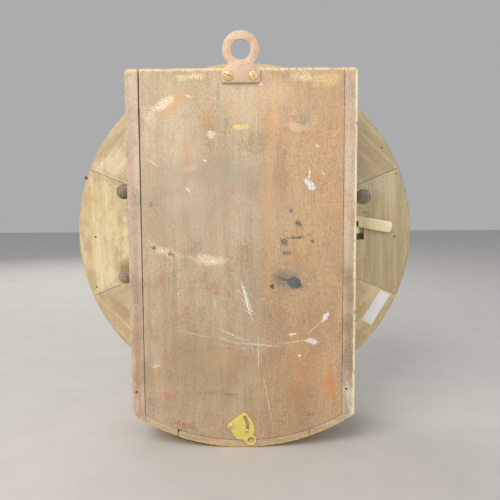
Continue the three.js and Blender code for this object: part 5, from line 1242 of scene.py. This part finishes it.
@dataclass
class Doors:
    """The side door with its knob, and the curved foot door with its turn button."""

    hinge: Point = (102.5, -26.5)
    thickness: float = 9.0
    front: float = -88.0
    span: Point = (-150.0, -84.0)
    notch: Point = (-135.6, -98.4)
    knob_at: Place = (107.0, -79.0, -117.0)
    knob: tuple[Point, ...] = (
        (0, 0.3), (3.4, 0.3), (2.6, 2.4), (3.2, 3.4), (4.6, 4.4), (5.4, 5.8), (5.3, 7.2), (4.2, 8.6),
        (2.2, 9.2), (0, 9.3),
    )
    tongue: tuple[Place, Place] = ((92.9, -82.6, -120.6), (94.7, -75.4, -102.0))
    foot_half: float = 60.0
    foot_fit: float = 63.2
    foot: float = 6.4
    depth: float = 111.4
    notch_half: float = 18.6
    button_at: float = 69.4
    button_y: float = -60.5

    def side_door(self) -> None:
        """Make the side door and its knob."""
        half = self.thickness / 2
        x, y = self.hinge
        outline = around((x, y), half, 0, 180, 12)
        outline += [(x - half, self.front), (x + half, self.front)]
        notch = Work().rod(half + 0.5, *self.notch, Axis.Z, (x, y, 0.0))
        door = Work().slab(outline, *self.span, plane=Plane.LEVEL).carve(notch).soften(0.4)
        door.piece("side_door", FINISHES.side, "mahogany", "side_door")
        knob = Work().turned(self.knob, Axis.X, self.knob_at)
        knob.rod(2.2, -13.0, 2.0, Axis.X, self.knob_at)
        knob.piece("side_door_knob", FINISHES.works, "brass", "side_knob")
        tongue = Work().box(*self.tongue).soften(0.5)
        tongue.piece("side_door_tongue", FINISHES.works, "brass", "side_knob")

    def foot_door(self) -> None:
        """Make the curved foot door and its button."""
        inner = FOOT_RADIUS - self.foot
        middle = FOOT_RADIUS - self.foot / 2
        tilt = math.degrees(math.asin(self.foot_half / middle))
        end = (self.foot_half, FOOT_MIDDLE[2] - math.sqrt(middle**2 - self.foot_half**2))
        outline = foot_arc(-self.foot_fit, self.foot_half, steps=30)
        outline += around(end, self.foot / 2, -90 + tilt, 90 + tilt, 8)[1:-1]
        outline += foot_arc(self.foot_half, -self.foot_fit, inner, 30)
        low, high = self.button_y - self.notch_half, self.button_y + self.notch_half
        notch = Work().rod(self.foot / 2 + 0.6, low, high, Axis.Y, (end[0], 0, end[1]))
        door = Work().slab(outline, 0.0, -self.depth).carve(notch).soften(0.35)
        door.piece("foot_door", FINISHES.foot, "mahogany", "foot_door")
        outline = around((0.0, 0.0), 3.6, 180, 360, 12) + around((0.0, 11.4), 2.9, 0, 180, 12)
        button = Work().slab(outline, -2.9, -0.3, plane=Plane.LEVEL).soften(0.5)
        button.turned([(0, -4.1), (1.6, -3.9), (2.4, -3.3), (2.6, -2.8), (0, -2.8)], Axis.Z)
        lean = math.degrees(math.asin(self.button_at / FOOT_RADIUS))
        low = FOOT_MIDDLE[2] - math.sqrt(FOOT_RADIUS**2 - self.button_at**2)
        button.turn(lean, Axis.Y).move((-self.button_at, self.button_y, low))
        button.piece("foot_door_button", FINISHES.works, "brass", "foot_button")

    def make(self) -> None:
        """Make both doors."""
        self.side_door()
        self.foot_door()


@dataclass
class Surround:
    """The eight pine segments of the dial's surround, with the catch's room and the nails."""

    parts: int = 8
    joint: float = 0.06  # degrees that each end stands back
    steps: int = 22
    profile: tuple[Point, ...] = (
        (104.0, REAR), (104.0, -128.0), (150.0, -128.0), (150.0, -130.0), (174.2, -130.0),
        (175.0, -133.5), (176.3, -134.3), (178.0, -134.5), (182.0, -134.1), (184.8, -133.2),
        (187.0, -131.7), (188.6, -129.8), (189.6, -127.4), (190.0, -124.5), (190.0, -114.4),
        (189.3, -112.7), (187.6, REAR),
    )
    catch_part: int = 5
    catch_bore: Place = (-119.0, 0.0, 14.1)
    catch_room: tuple[tuple[Place, Place], ...] = (
        ((-137.0, -118.0, -8.7), (-121.0, -110.0, 5.6)),
        ((-160.4, -126.0, -8.7), (-121.0, -116.0, 5.6)),
        ((-160.4, -131.0, -8.7), (-150.6, -115.0, 5.6)),
    )
    catch_pin: float = 2.25
    nails: tuple[tuple[float, float, float], ...] = (  # x, z and the head's radius
        (-171.8, -5.5, 1.1), (170.8, -4.1, 1.1), (179.5, 63.2, 1.8), (-156.0, 95.0, 0.9),
        (60.0, 172.0, 0.9), (-63.0, -171.5, 0.9), (171.0, -62.0, 1.0), (-172.5, 66.0, 0.9),
    )

    def segment(self, index: int) -> Work:
        """Return a segment, with its room for the catch where it has one.

        Args:
            index: The segment's index, from 0 at +X and on towards +Z.

        Returns:
            The segment.
        """
        half = 180.0 / self.parts - self.joint
        middle = index * 360.0 / self.parts
        work = Work().swept(self.profile, middle - half, middle + half, self.steps)
        if index + 1 == self.catch_part:
            x, _, z = self.catch_bore
            rooms = [Work().box(*room) for room in self.catch_room]
            work.carve(*rooms, Work().rod(self.catch_pin, -121.0, -110.0, Axis.Y, (x, 0.0, z)))
        return work.soften(0.35, 1, 40)

    def make(self) -> None:
        """Make the segments and the nails in their backs."""
        for index in range(self.parts):
            name = f"surround_segment_{index + 1}"
            self.segment(index).piece(name, FINISHES.segment(index + 1), "pine")
        nails = Work()
        for x, z, radius in self.nails:
            shank = 0.6 * radius
            profile = [(0, REAR - 3), (shank, REAR - 3), (shank, REAR), (radius, REAR + 0.05)]
            profile += [(radius * 0.9, REAR + 0.2), (0, REAR + 0.28)]
            nails.turned(profile, Axis.Y, (x, 0.0, z), 12)
        nails.piece("surround_nails", FINISHES.nail, "iron")


@dataclass
class ScrewHead:
    """A slotted screw with a raised round head."""

    at: Point
    seat: float
    head: float
    height: float = 2.2
    shank: float = 1.8
    slot: float = 1.1
    slot_turn: float = 20.0

    def work(self) -> Work:
        """Return the screw with its slot."""
        side = 0.4  # how far the head rises straight
        arc = around((0.0, 0.0), 1.0, 0, 75, 5)
        rise = [(self.head * a, self.seat + side + (self.height - side) * b) for a, b in arc]
        foot = self.seat - 8.0
        profile = [(0, foot), (self.shank, foot + 0.6), (self.shank, self.seat)]
        profile += [(self.head, self.seat), *rise, (0, self.seat + self.height)]
        x, z = self.at
        screw = Work().turned(profile, Axis.Y, (x, 0.0, z), 28)
        half = self.slot / 2
        groove = Work().box(
            (x - self.head - 1, self.seat + 0.25, z - half),
            (x + self.head + 1, self.seat + self.height + 1, z + half),
        )
        groove.turn(self.slot_turn, Axis.Y, (x, 0.0, z))
        return screw.carve(groove)


@dataclass
class Hangings:
    """What holds the clock on the wall: the iron plate with its eye, and the steady plate."""

    eye: Place = (0.0, 0.0, 172.6)
    ring: float = 17.0
    hole: float = 9.0
    thickness: float = 2.2
    neck: float = 12.6
    foot: float = 17.6
    foot_span: Point = (143.2, 155.0)
    screw_at: Point = (11.4, 149.4)
    steady_pivot: Point = (11.6, -180.7)
    steady_eye: Point = (-7.1, -194.8)
    steady_from: float = 0.1
    steady_to: float = 1.7
    slot_radius: float = 15.6
    slot_span: Point = (146.0, 197.4)
    slot_half: float = 1.6

    def hanging_plate(self) -> None:
        """Make the hanging plate and its two screws."""
        x, _, z = self.eye
        low, high = self.foot_span
        inner = self.neck - 1
        meet = math.degrees(math.acos(inner / self.ring))
        start = (inner, z - math.sqrt(self.ring**2 - inner**2))
        side = curve(start, (self.neck, high + 2), (self.foot, high))
        outline = around((x, z), self.ring, -meet, 180 + meet, 40)
        outline += [(-a, b) for a, b in side[1:]]
        outline += [(-self.foot, low), (self.foot, low), *side[:0:-1]]
        plate = Work().slab(outline, 0.02, self.thickness)
        plate.carve(Work().rod(self.hole, -1.0, 4.0, Axis.Y, self.eye, 48)).soften(0.35, 2, 40)
        plate.piece("hanging_plate", FINISHES.iron, "iron")
        for side_name, sign, slot_turn in (("left", -1, -61.0), ("right", 1, -24.0)):
            at = (sign * self.screw_at[0], self.screw_at[1])
            head = ScrewHead(at, self.thickness, 4.7, slot_turn=slot_turn)
            head.work().piece(f"hanging_screw_{side_name}", FINISHES.screw, "iron")

    def steady_plate(self) -> None:
        """Make the brass steady plate and its two screws."""
        px, pz = self.steady_pivot
        ex, ez = self.steady_eye
        outline = [(px + 3.3, pz + 2.5), (px - 12.3, pz + 13.6)]
        outline += curve((px - 13.4, pz + 13.4), (px - 19.2, pz + 7.0), (px - 21.2, pz + 1.6), 8)
        outline += curve((px - 21.4, pz + 0.9), (px - 23.6, pz - 5.2), (px - 20.6, pz - 8.6), 6)
        outline += [around((ex, ez), 5.2, 115, 115, 1)[0]] + around((ex, ez), 5.2, 125, 330, 20)
        outline += [(px - 11.6, pz - 14.2), (px - 9.6, pz - 13.6), (px - 5.6, pz - 13.0)]
        outline += curve((px - 4.4, pz - 12.2), (px - 1.6, pz - 7.6), (px + 1.4, pz - 3.6), 6)
        outline += [(px + 4.3, pz - 0.6), (px + 4.4, pz + 1.0)]
        plate = Work().slab(outline, self.steady_from, self.steady_to)
        low, high = self.slot_span
        ends = [around((px, pz), self.slot_radius, a, a, 1)[0] for a in (low, high)]
        slot = around((px, pz), self.slot_radius + self.slot_half, low, high, 10)
        slot += around(ends[1], self.slot_half, high, high + 180, 8)[1:-1]
        slot += around((px, pz), self.slot_radius - self.slot_half, high, low, 10)
        slot += around(ends[0], self.slot_half, low + 180, low + 360, 8)[1:-1]
        eye = Work().rod(3.2, -2.0, 5.0, Axis.Y, (ex, 0.0, ez), 28)
        plate.carve(Work().slab(slot, -2.0, 5.0), eye).soften(0.3, 2, 40)
        plate.piece("steady_plate", FINISHES.brass, "brass", "steady")
        pivot = ScrewHead(self.steady_pivot, self.steady_to + 0.3, 2.8, 1.9, 1.6, 0.7, 65.0)
        pivot.work().piece("steady_pivot_screw", FINISHES.screw, "brass")
        guide = ScrewHead(ends[1], self.steady_to + 0.3, 2.1, 1.5, 1.4, 0.6, 15.0)
        guide.work().piece("steady_guide_screw", FINISHES.screw, "iron")

    def make(self) -> None:
        """Make both plates with their screws."""
        self.hanging_plate()
        self.steady_plate()


@dataclass
class Catch:
    """The brass catch that keeps the bezel shut, worked from behind the surround."""

    pivot: Point = (-119.0, 14.1)
    slope: float = -10.5
    face: float = -111.7
    thickness: float = 2.0
    step: float = 3.4
    length: float = 49.0
    half: float = 6.3
    bend: Point = (-15.0, -24.0)  # where the strip starts and ends its step
    near: float = 7.5
    tongue: Point = (-130.0, -125.5)
    tongue_z: Point = (-1.8, 4.0)
    tip: float = -155.0
    foot: Point = (-122.4, -120.4)

    def strip(self) -> Work:
        """Return the bent strip with its rounded outline."""
        x, z = self.pivot
        top = self.face + self.thickness
        start, end = self.bend
        far, half = -self.length, self.half
        bent = [(self.near, self.face), (start, self.face), (end, self.face + self.step)]
        bent += [(far, self.face + self.step), (far, top + self.step)]
        bent += [(end, top + self.step), (start, top), (self.near, top)]
        strip = Work().slab(bent, -half, half, plane=Plane.LEVEL)
        outline = around((3.0, 0.0), half, -90, 90, 12)
        outline += curve((far + 6, half), (far - 0.5, half), (far, 1.5), 6)
        outline += curve((far, -2.0), (far, -half), (far + 5, -half), 6)
        keep = Work().slab(outline, self.face - 2, top + self.step + 2)
        strip.carve(keep, keep=True).soften(0.4, 2, 40)
        return strip.turn(self.slope, Axis.Y).move((x, 0.0, z))

    def make(self) -> None:
        """Make the catch and its screw."""
        x, z = self.pivot
        low, high = self.tongue_z
        start, end = self.tongue
        bottom, foot = self.foot
        top = self.face + self.thickness
        catch = self.strip().box((start, self.face, high), (end, top, z - 2))
        catch.box((start, bottom, low), (end, top, high))
        catch.box((self.tip, bottom, low), (start, foot, high))
        catch.piece("bezel_catch", FINISHES.pale_brass, "brass", "catch")
        screw = ScrewHead(self.pivot, top + 0.3, 4.2, 1.8, 2.0, 0.9, 40.0).work()
        screw.piece("bezel_catch_screw", FINISHES.screw, "steel")


@dataclass
class Bezel:
    """The hinged brass bezel with its domed glass and the keeper for the catch."""

    seat: float = -130.3
    front: float = -147.3
    lip: float = -142.4
    radius: float = 173.0
    bore: float = 153.0
    steps: int = 160
    hinge_at: Place = (178.0, -138.3, 0.0)
    knuckle: float = 2.3
    pin: float = 1.1
    knuckles: Point = (7.3, 17.0)
    leaf: float = 7.0
    keeper: tuple[tuple[Place, Place], ...] = (
        ((-157.4, -133.3, -7.4), (-155.2, -118.5, -2.6)),
        ((-157.4, -120.1, -7.4), (-151.0, -118.5, -2.6)),
    )
    dome: float = 7.0
    pane: Place = (152.4, -139.7, -142.1)  # the glass's radius, its back and its front at the rim

    def ring(self) -> None:
        """Make the bezel's ring with its knuckles and the keeper for the catch."""
        profile = [
            (self.bore, self.seat), (self.bore, self.lip), (150.0, self.lip), (150.1, -145.0),
            (150.8, -146.2), (self.bore, -146.9), (156.0, self.front), (159.0, -147.1), (162.0, -146.3),
            (164.5, -145.1), (167.6, -142.9), (170.5, -139.8), (172.0, -137.4), (172.8, -135.4),
            (self.radius, -134.3), (self.radius, self.seat), (self.bore, self.seat),
        ]
        ring = Work().turned(profile, Axis.Y, steps=self.steps)
        x, y, _ = self.hinge_at
        near, far = self.knuckles
        for low, high in ((near, far), (-far, -near)):
            ring.rod(self.knuckle, low, high, Axis.Z, self.hinge_at)
            ring.box((self.radius - 4.5, y - 1, low), (x, y + 1, high))
        for block in self.keeper:
            ring.box(*block)
        ring.piece("bezel_ring", FINISHES.bezel, "brass", "bezel")

    def hinge(self) -> None:
        """Make the hinge's leaf on the surround."""
        x, y, _ = self.hinge_at
        far = self.knuckles[1]
        leaf = Work().rod(self.knuckle, -self.leaf, self.leaf, Axis.Z, self.hinge_at)
        leaf.rod(self.pin, -far, far, Axis.Z, self.hinge_at)
        leaf.box((x, y + 1.2, -self.leaf), (x + 7, -134.8, self.leaf))
        leaf.piece("bezel_hinge", FINISHES.bezel, "brass")

    def glass(self) -> None:
        """Make the domed glass."""
        rim, back, front = self.pane
        sphere = (rim**2 + self.dome**2) / (2 * self.dome)
        radii = [rim * i / 14 for i in range(15)]
        rise = [math.sqrt(sphere**2 - r**2) - (sphere - self.dome) for r in radii]
        outer = [(r, front - h + 0.02) for r, h in zip(radii, rise)]
        inner = [(r, back - h) for r, h in zip(radii, rise)]
        pane = Work().turned(outer + inner[::-1], Axis.Y, steps=self.steps)
        pane.piece("bezel_glass", FINISHES.glass, "glass", "bezel")

    def make(self) -> None:
        """Make the bezel."""
        self.ring()
        self.hinge()
        self.glass()


@dataclass
class Dial:
    """The painted dial with its numerals and minute track, and the sight ring before it."""

    face: float = -129.6
    back: float = -128.0
    radius: float = 149.0
    hole: float = 5.6
    winding: Point = (27.577, -27.577)
    winding_hole: float = 6.0
    feet: tuple[Point, ...] = ((38.0, 70.0), (-38.0, 70.0), (38.0, -64.0), (-38.0, -64.0))
    track: Point = (133.0, 141.0)
    numeral_radius: float = 117.0
    numeral_height: float = 27.0
    sight: tuple[Point, ...] = (
        (146.5, -129.9), (147.9, -129.9), (152.7, -137.7), (152.7, -139.4), (151.4, -139.4),
        (146.5, -131.1), (146.5, -129.9),
    )
    ink: float = 0.12
    line: float = 0.7
    letter_widths: tuple[tuple[str, float], ...] = (("I", 6.2), ("V", 15.5), ("X", 15.5))
    numerals: tuple[str, ...] = (
        "XII", "I", "II", "III", "IIII", "V", "VI", "VII", "VIII", "IX", "X", "XI"
    )

    def plate(self) -> None:
        """Make the dial's plate and its feet."""
        rim = [(0, self.back), (self.radius, self.back), (self.radius, self.face + 0.4)]
        rim += [(self.radius - 0.5, self.face), (0, self.face)]
        plate = Work().turned(rim, Axis.Y, steps=128)
        x, z = self.winding
        hole = Work().rod(self.hole, *THROUGH, Axis.Y, ORIGIN, 40)
        plate.carve(hole, Work().rod(self.winding_hole, *THROUGH, Axis.Y, (x, 0, z), 40))
        for a, b in self.feet:
            plate.rod(4.0, self.back - 0.5, -115.6, Axis.Y, (a, 0, b))
        plate.piece("dial_plate", FINISHES.dial, "enamel")

    def bar(self, work: Work, start: Point, end: Point, width: float, turn: float) -> None:
        """Paint one bar of a numeral, upright and then turned to its hour.

        Args:
            work: What the bar is added to.
            start: Its middle at the foot.
            end: Its middle at the top.
            width: Its width across.
            turn: The hour's angle, clockwise from twelve in degrees.
        """
        (x0, z0), (x1, z1) = start, end
        half = width / 2
        corners = [(x0 - half, z0), (x0 + half, z0), (x1 + half, z1), (x1 - half, z1)]
        mark = Work().slab(corners, self.face, self.face - self.ink).turn(turn, Axis.Y)
        work.absorb(mark)

    def numeral(self, work: Work, text: str, turn: float) -> None:
        """Paint one numeral with its thick and thin bars and its serifs.

        Args:
            work: What the numeral is added to.
            text: Its letters.
            turn: Its angle, clockwise from twelve in degrees.
        """
        widths = dict(self.letter_widths)
        low = self.numeral_radius - self.numeral_height / 2
        high = self.numeral_radius + self.numeral_height / 2
        x = -sum(widths[letter] for letter in text) / 2
        for letter in text:
            wide = widths[letter]
            middle = x + wide / 2
            if letter == "I":
                self.bar(work, (middle, low), (middle, high), 3.0, turn)
                feet = [(middle, low), (middle, high)]
            elif letter == "V":
                self.bar(work, (middle + 0.4, low), (x + 3.0, high), 3.6, turn)
                self.bar(work, (middle + 0.6, low), (x + wide - 2.4, high), 1.3, turn)
                feet = [(x + 3.0, high), (x + wide - 2.4, high)]
            else:
                self.bar(work, (x + wide - 3.0, low), (x + 3.0, high), 3.6, turn)
                self.bar(work, (x + 2.6, low), (x + wide - 2.6, high), 1.3, turn)
                feet = [(x + 3.0, high), (x + wide - 2.6, high)]
                feet += [(x + 2.6, low), (x + wide - 3.0, low)]
            for a, b in feet:
                rise = 0.6 if b == low else -0.6
                self.bar(work, (a, b), (a, b + rise), 5.4, turn)
            x += wide

    def print(self) -> None:
        """Paint the numerals and the minute track."""
        ink = Work()
        top = self.face - self.ink
        for ring in self.track:
            inner, outer = ring - self.line / 2, ring + self.line / 2
            start = (inner, self.face)
            profile = [start, (outer, self.face), (outer, top), (inner, top), start]
            ink.turned(profile, Axis.Y, steps=180)
        low, high = self.track
        for minute in range(60):
            self.bar(ink, (0, low), (0, high), 2.4 if minute % 5 == 0 else self.line, 6.0 * minute)
        for hour, text in enumerate(self.numerals):
            self.numeral(ink, text, 30.0 * hour)
        ink.piece("dial_print", FINISHES.print, "enamel")

    def sight_ring(self) -> None:
        """Make the ring that closes the gap between dial and glass."""
        ring = Work().turned(self.sight, Axis.Y, steps=160)
        ring.piece("sight_ring", FINISHES.bezel, "brass", "bezel")

    def make(self) -> None:
        """Make the dial."""
        self.plate()
        self.print()
        self.sight_ring()


@dataclass
class Hands:
    """The blued spade hands at ten past ten."""

    hour_back: float = -132.6
    minute_back: float = -136.0
    thickness: float = 1.0
    hour_angle: float = 305.0
    minute_angle: float = 60.0

    def outline(
        self, boss: float, stem: float, length: float, spade: float, at: float
    ) -> list[Point]:
        """Return a spade hand's outline, pointing up.

        Args:
            boss: The boss's radius.
            stem: The stem's half width.
            length: The hand's length.
            spade: The spade's half width.
            at: The spade's height.

        Returns:
            Its corners.
        """
        lean = math.degrees(math.asin(stem / boss))
        boss_arc = around((0, 0), boss, 90 + lean, 450 - lean, 40)
        side = [(stem * 0.75, at - spade)]
        side += curve(side[0], (spade * 1.1, at - spade * 0.9), (spade, at))[1:]
        top = (stem * 0.7, at + spade * 1.3)
        side += curve((spade, at), (spade * 0.7, at + spade * 0.8), top)[1:]
        side += [(0.4, length)]
        return boss_arc + side + [(-a, b) for a, b in side[::-1]]

    def make(self) -> None:
        """Make both hands."""
        for body, sizes, back, hole, angle in (
            ("hour", (9.0, 3.0, 92.0, 9.0, 66.0), self.hour_back, 3.25, self.hour_angle),
            ("minute", (6.5, 2.2, 132.0, 6.0, 104.0), self.minute_back, 1.95, self.minute_angle),
        ):
            hand = Work().slab(self.outline(*sizes), back, back - self.thickness)
            hand.carve(Work().rod(hole, *THROUGH, Axis.Y, ORIGIN, 32)).soften(0.2, 1, 40)
            hand.turn(angle, Axis.Y).piece(f"{body}_hand", FINISHES.blued, "blued", body)


@dataclass
class Trims:
    """Small things on the back: the bare label and the nails in the box."""

    label: tuple[Point, ...] = (
        (-157.0, -67.0), (-167.3, -73.0), (-146.4, -108.7), (-135.7, -101.2)
    )
    label_span: Point = (REAR + 0.02, REAR + 0.16)
    nails: tuple[Place, ...] = ((-98.8, 0.0, -144.6), (102.8, 0.0, -147.0))

    def make(self) -> None:
        """Make the label and the nail heads."""
        label = Work().slab(self.label, *self.label_span)
        label.piece("bare_label", FINISHES.paper)
        nails = Work()
        profile = [(0, -3.0), (0.7, -3.0), (0.7, 0.0), (1.2, 0.03), (1.1, 0.18), (0, 0.25)]
        for nail in self.nails:
            nails.turned(profile, Axis.Y, nail, 12)
        nails.piece("box_nails", FINISHES.nail, "iron")


@dataclass
class Movement:
    """The movement, pendulum and hinges, whose solids are shown with their finishes."""

    brass: tuple[str, ...] = (
        "front_plate", "back_plate", "back_cock", "great_wheel", "fusee", "spring_barrel",
        "centre_wheel", "cannon_pinion", "minute_wheel", "hour_wheel", "third_wheel", "escape_wheel",
        "pendulum_bob", "rating_nut", "side_door_hinge", "foot_door_hinge",
    )
    steel: tuple[str, ...] = (
        "barrel_arbor", "centre_arbor", "pallet_anchor", "crutch", "suspension_spring", "pendulum_rod",
    )

    def make(self) -> None:
        """Give the movement's solids their finishes."""
        dressed = [(name, FINISHES.works, "brass") for name in self.brass]
        dressed += [(name, FINISHES.steel, "steel") for name in self.steel]
        for name, finish, slot in dressed:
            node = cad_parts[name]
            node.data.materials.clear()
            node.data.materials.append(finish.material())
            LOG.info("%s: dressed", name)


@dataclass
class Studio:
    """The plain pale floor, the soft lights and the camera at the photograph's viewing angle."""

    camera_at: Place = (-0.011, 0.5056, 0.0337)
    yaw: float = 0.42
    pitch: float = -4.98
    roll: float = -0.36
    lens: float = 38.88
    floor: float = -0.2024
    pale: Colour = (214, 212, 208)
    room_light: float = 0.54

    def camera(self) -> None:
        """Set the camera up."""
        data = bpy.data.cameras.new("camera")
        data.lens, data.sensor_width, data.clip_start, data.clip_end = self.lens, 36.0, 0.01, 20.0
        camera = bpy.data.objects.new("camera", data)
        yaw, pitch, roll = (math.radians(a) for a in (self.yaw, self.pitch, self.roll))
        level = math.cos(pitch)
        ahead = Vector((math.sin(yaw) * level, -math.cos(yaw) * level, math.sin(pitch)))
        right = ahead.cross(Vector((0, 0, 1))).normalized()
        up = right.cross(ahead)
        side = right * math.cos(roll) + up * math.sin(roll)
        top = up * math.cos(roll) - right * math.sin(roll)
        facing = Matrix((side, top, -ahead)).transposed().to_4x4()
        camera.matrix_world = Matrix.Translation(self.camera_at) @ facing
        bpy.context.scene.collection.objects.link(camera)
        bpy.context.scene.camera = camera
        camera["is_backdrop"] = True

    def light(
        self, name: str, at: Place, aim: Place, size: float, watts: float, colour: Colour
    ) -> None:
        """Set up one soft area light.

        Args:
            name: Its name.
            at: Where it stands.
            aim: Where it points.
            size: Its side in metres.
            watts: Its power.
            colour: Its colour.
        """
        data = bpy.data.lights.new(name, "AREA")
        data.shape, data.size, data.energy, data.color = "SQUARE", size, watts, linear(colour)[:3]
        lamp = bpy.data.objects.new(name, data)
        lamp.location = at
        lamp.rotation_euler = (Vector(aim) - Vector(at)).to_track_quat("-Z", "Y").to_euler()
        bpy.context.scene.collection.objects.link(lamp)
        lamp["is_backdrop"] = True

    def ground(self) -> None:
        """Lay the floor and set the surroundings' pale light."""
        shape = bpy.data.meshes.new("floor")
        sides = ((-1, -1), (1, -1), (1, 1), (-1, 1))
        shape.from_pydata([(4.0 * a, 4.0 * b, self.floor) for a, b in sides], [], [(0, 1, 2, 3)])
        shape.materials.append(Enamel("pale floor", self.pale, (204, 202, 198), 0.8).material())
        floor = bpy.data.objects.new("floor", shape)
        bpy.context.scene.collection.objects.link(floor)
        floor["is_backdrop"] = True
        world = bpy.data.worlds.new("pale room")
        world.use_nodes = True
        backdrop = next(n for n in world.node_tree.nodes if n.type == "BACKGROUND")
        backdrop.inputs["Color"].default_value = linear((226, 226, 228))
        backdrop.inputs["Strength"].default_value = self.room_light
        bpy.context.scene.world = world

    def make(self) -> None:
        """Set the studio up."""
        self.camera()
        self.ground()
        self.light("key light", (0.7, 1.2, 1.25), (0, 0, 0.03), 1.1, 23.0, (255, 249, 240))
        self.light("fill light", (-1.1, 1.1, 0.25), (0, 0, 0), 1.2, 6.0, (244, 247, 255))
        self.light("front light", (0.6, -1.4, 0.9), (0, 0, 0), 1.0, 9.0, (255, 252, 246))
        bpy.context.scene.view_settings.view_transform = "Standard"


ASSEMBLIES: tuple[type, ...] = (
    Surround, Box, Doors, Hangings, Catch, Bezel, Dial, Hands, Trims, Movement, Studio,
)


def corners() -> list[list[float]]:
    """Return the lowest and highest corner of what is shown, in metres."""
    return [[round(value, 5) for value in corner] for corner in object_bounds()]


def main() -> None:
    """Build the clock on the frame, then the studio."""
    logging.basicConfig(level=logging.INFO, format="%(message)s")
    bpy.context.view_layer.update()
    for assembly in ASSEMBLIES:
        assembly().make()


if __name__ == "__main__":
    main()
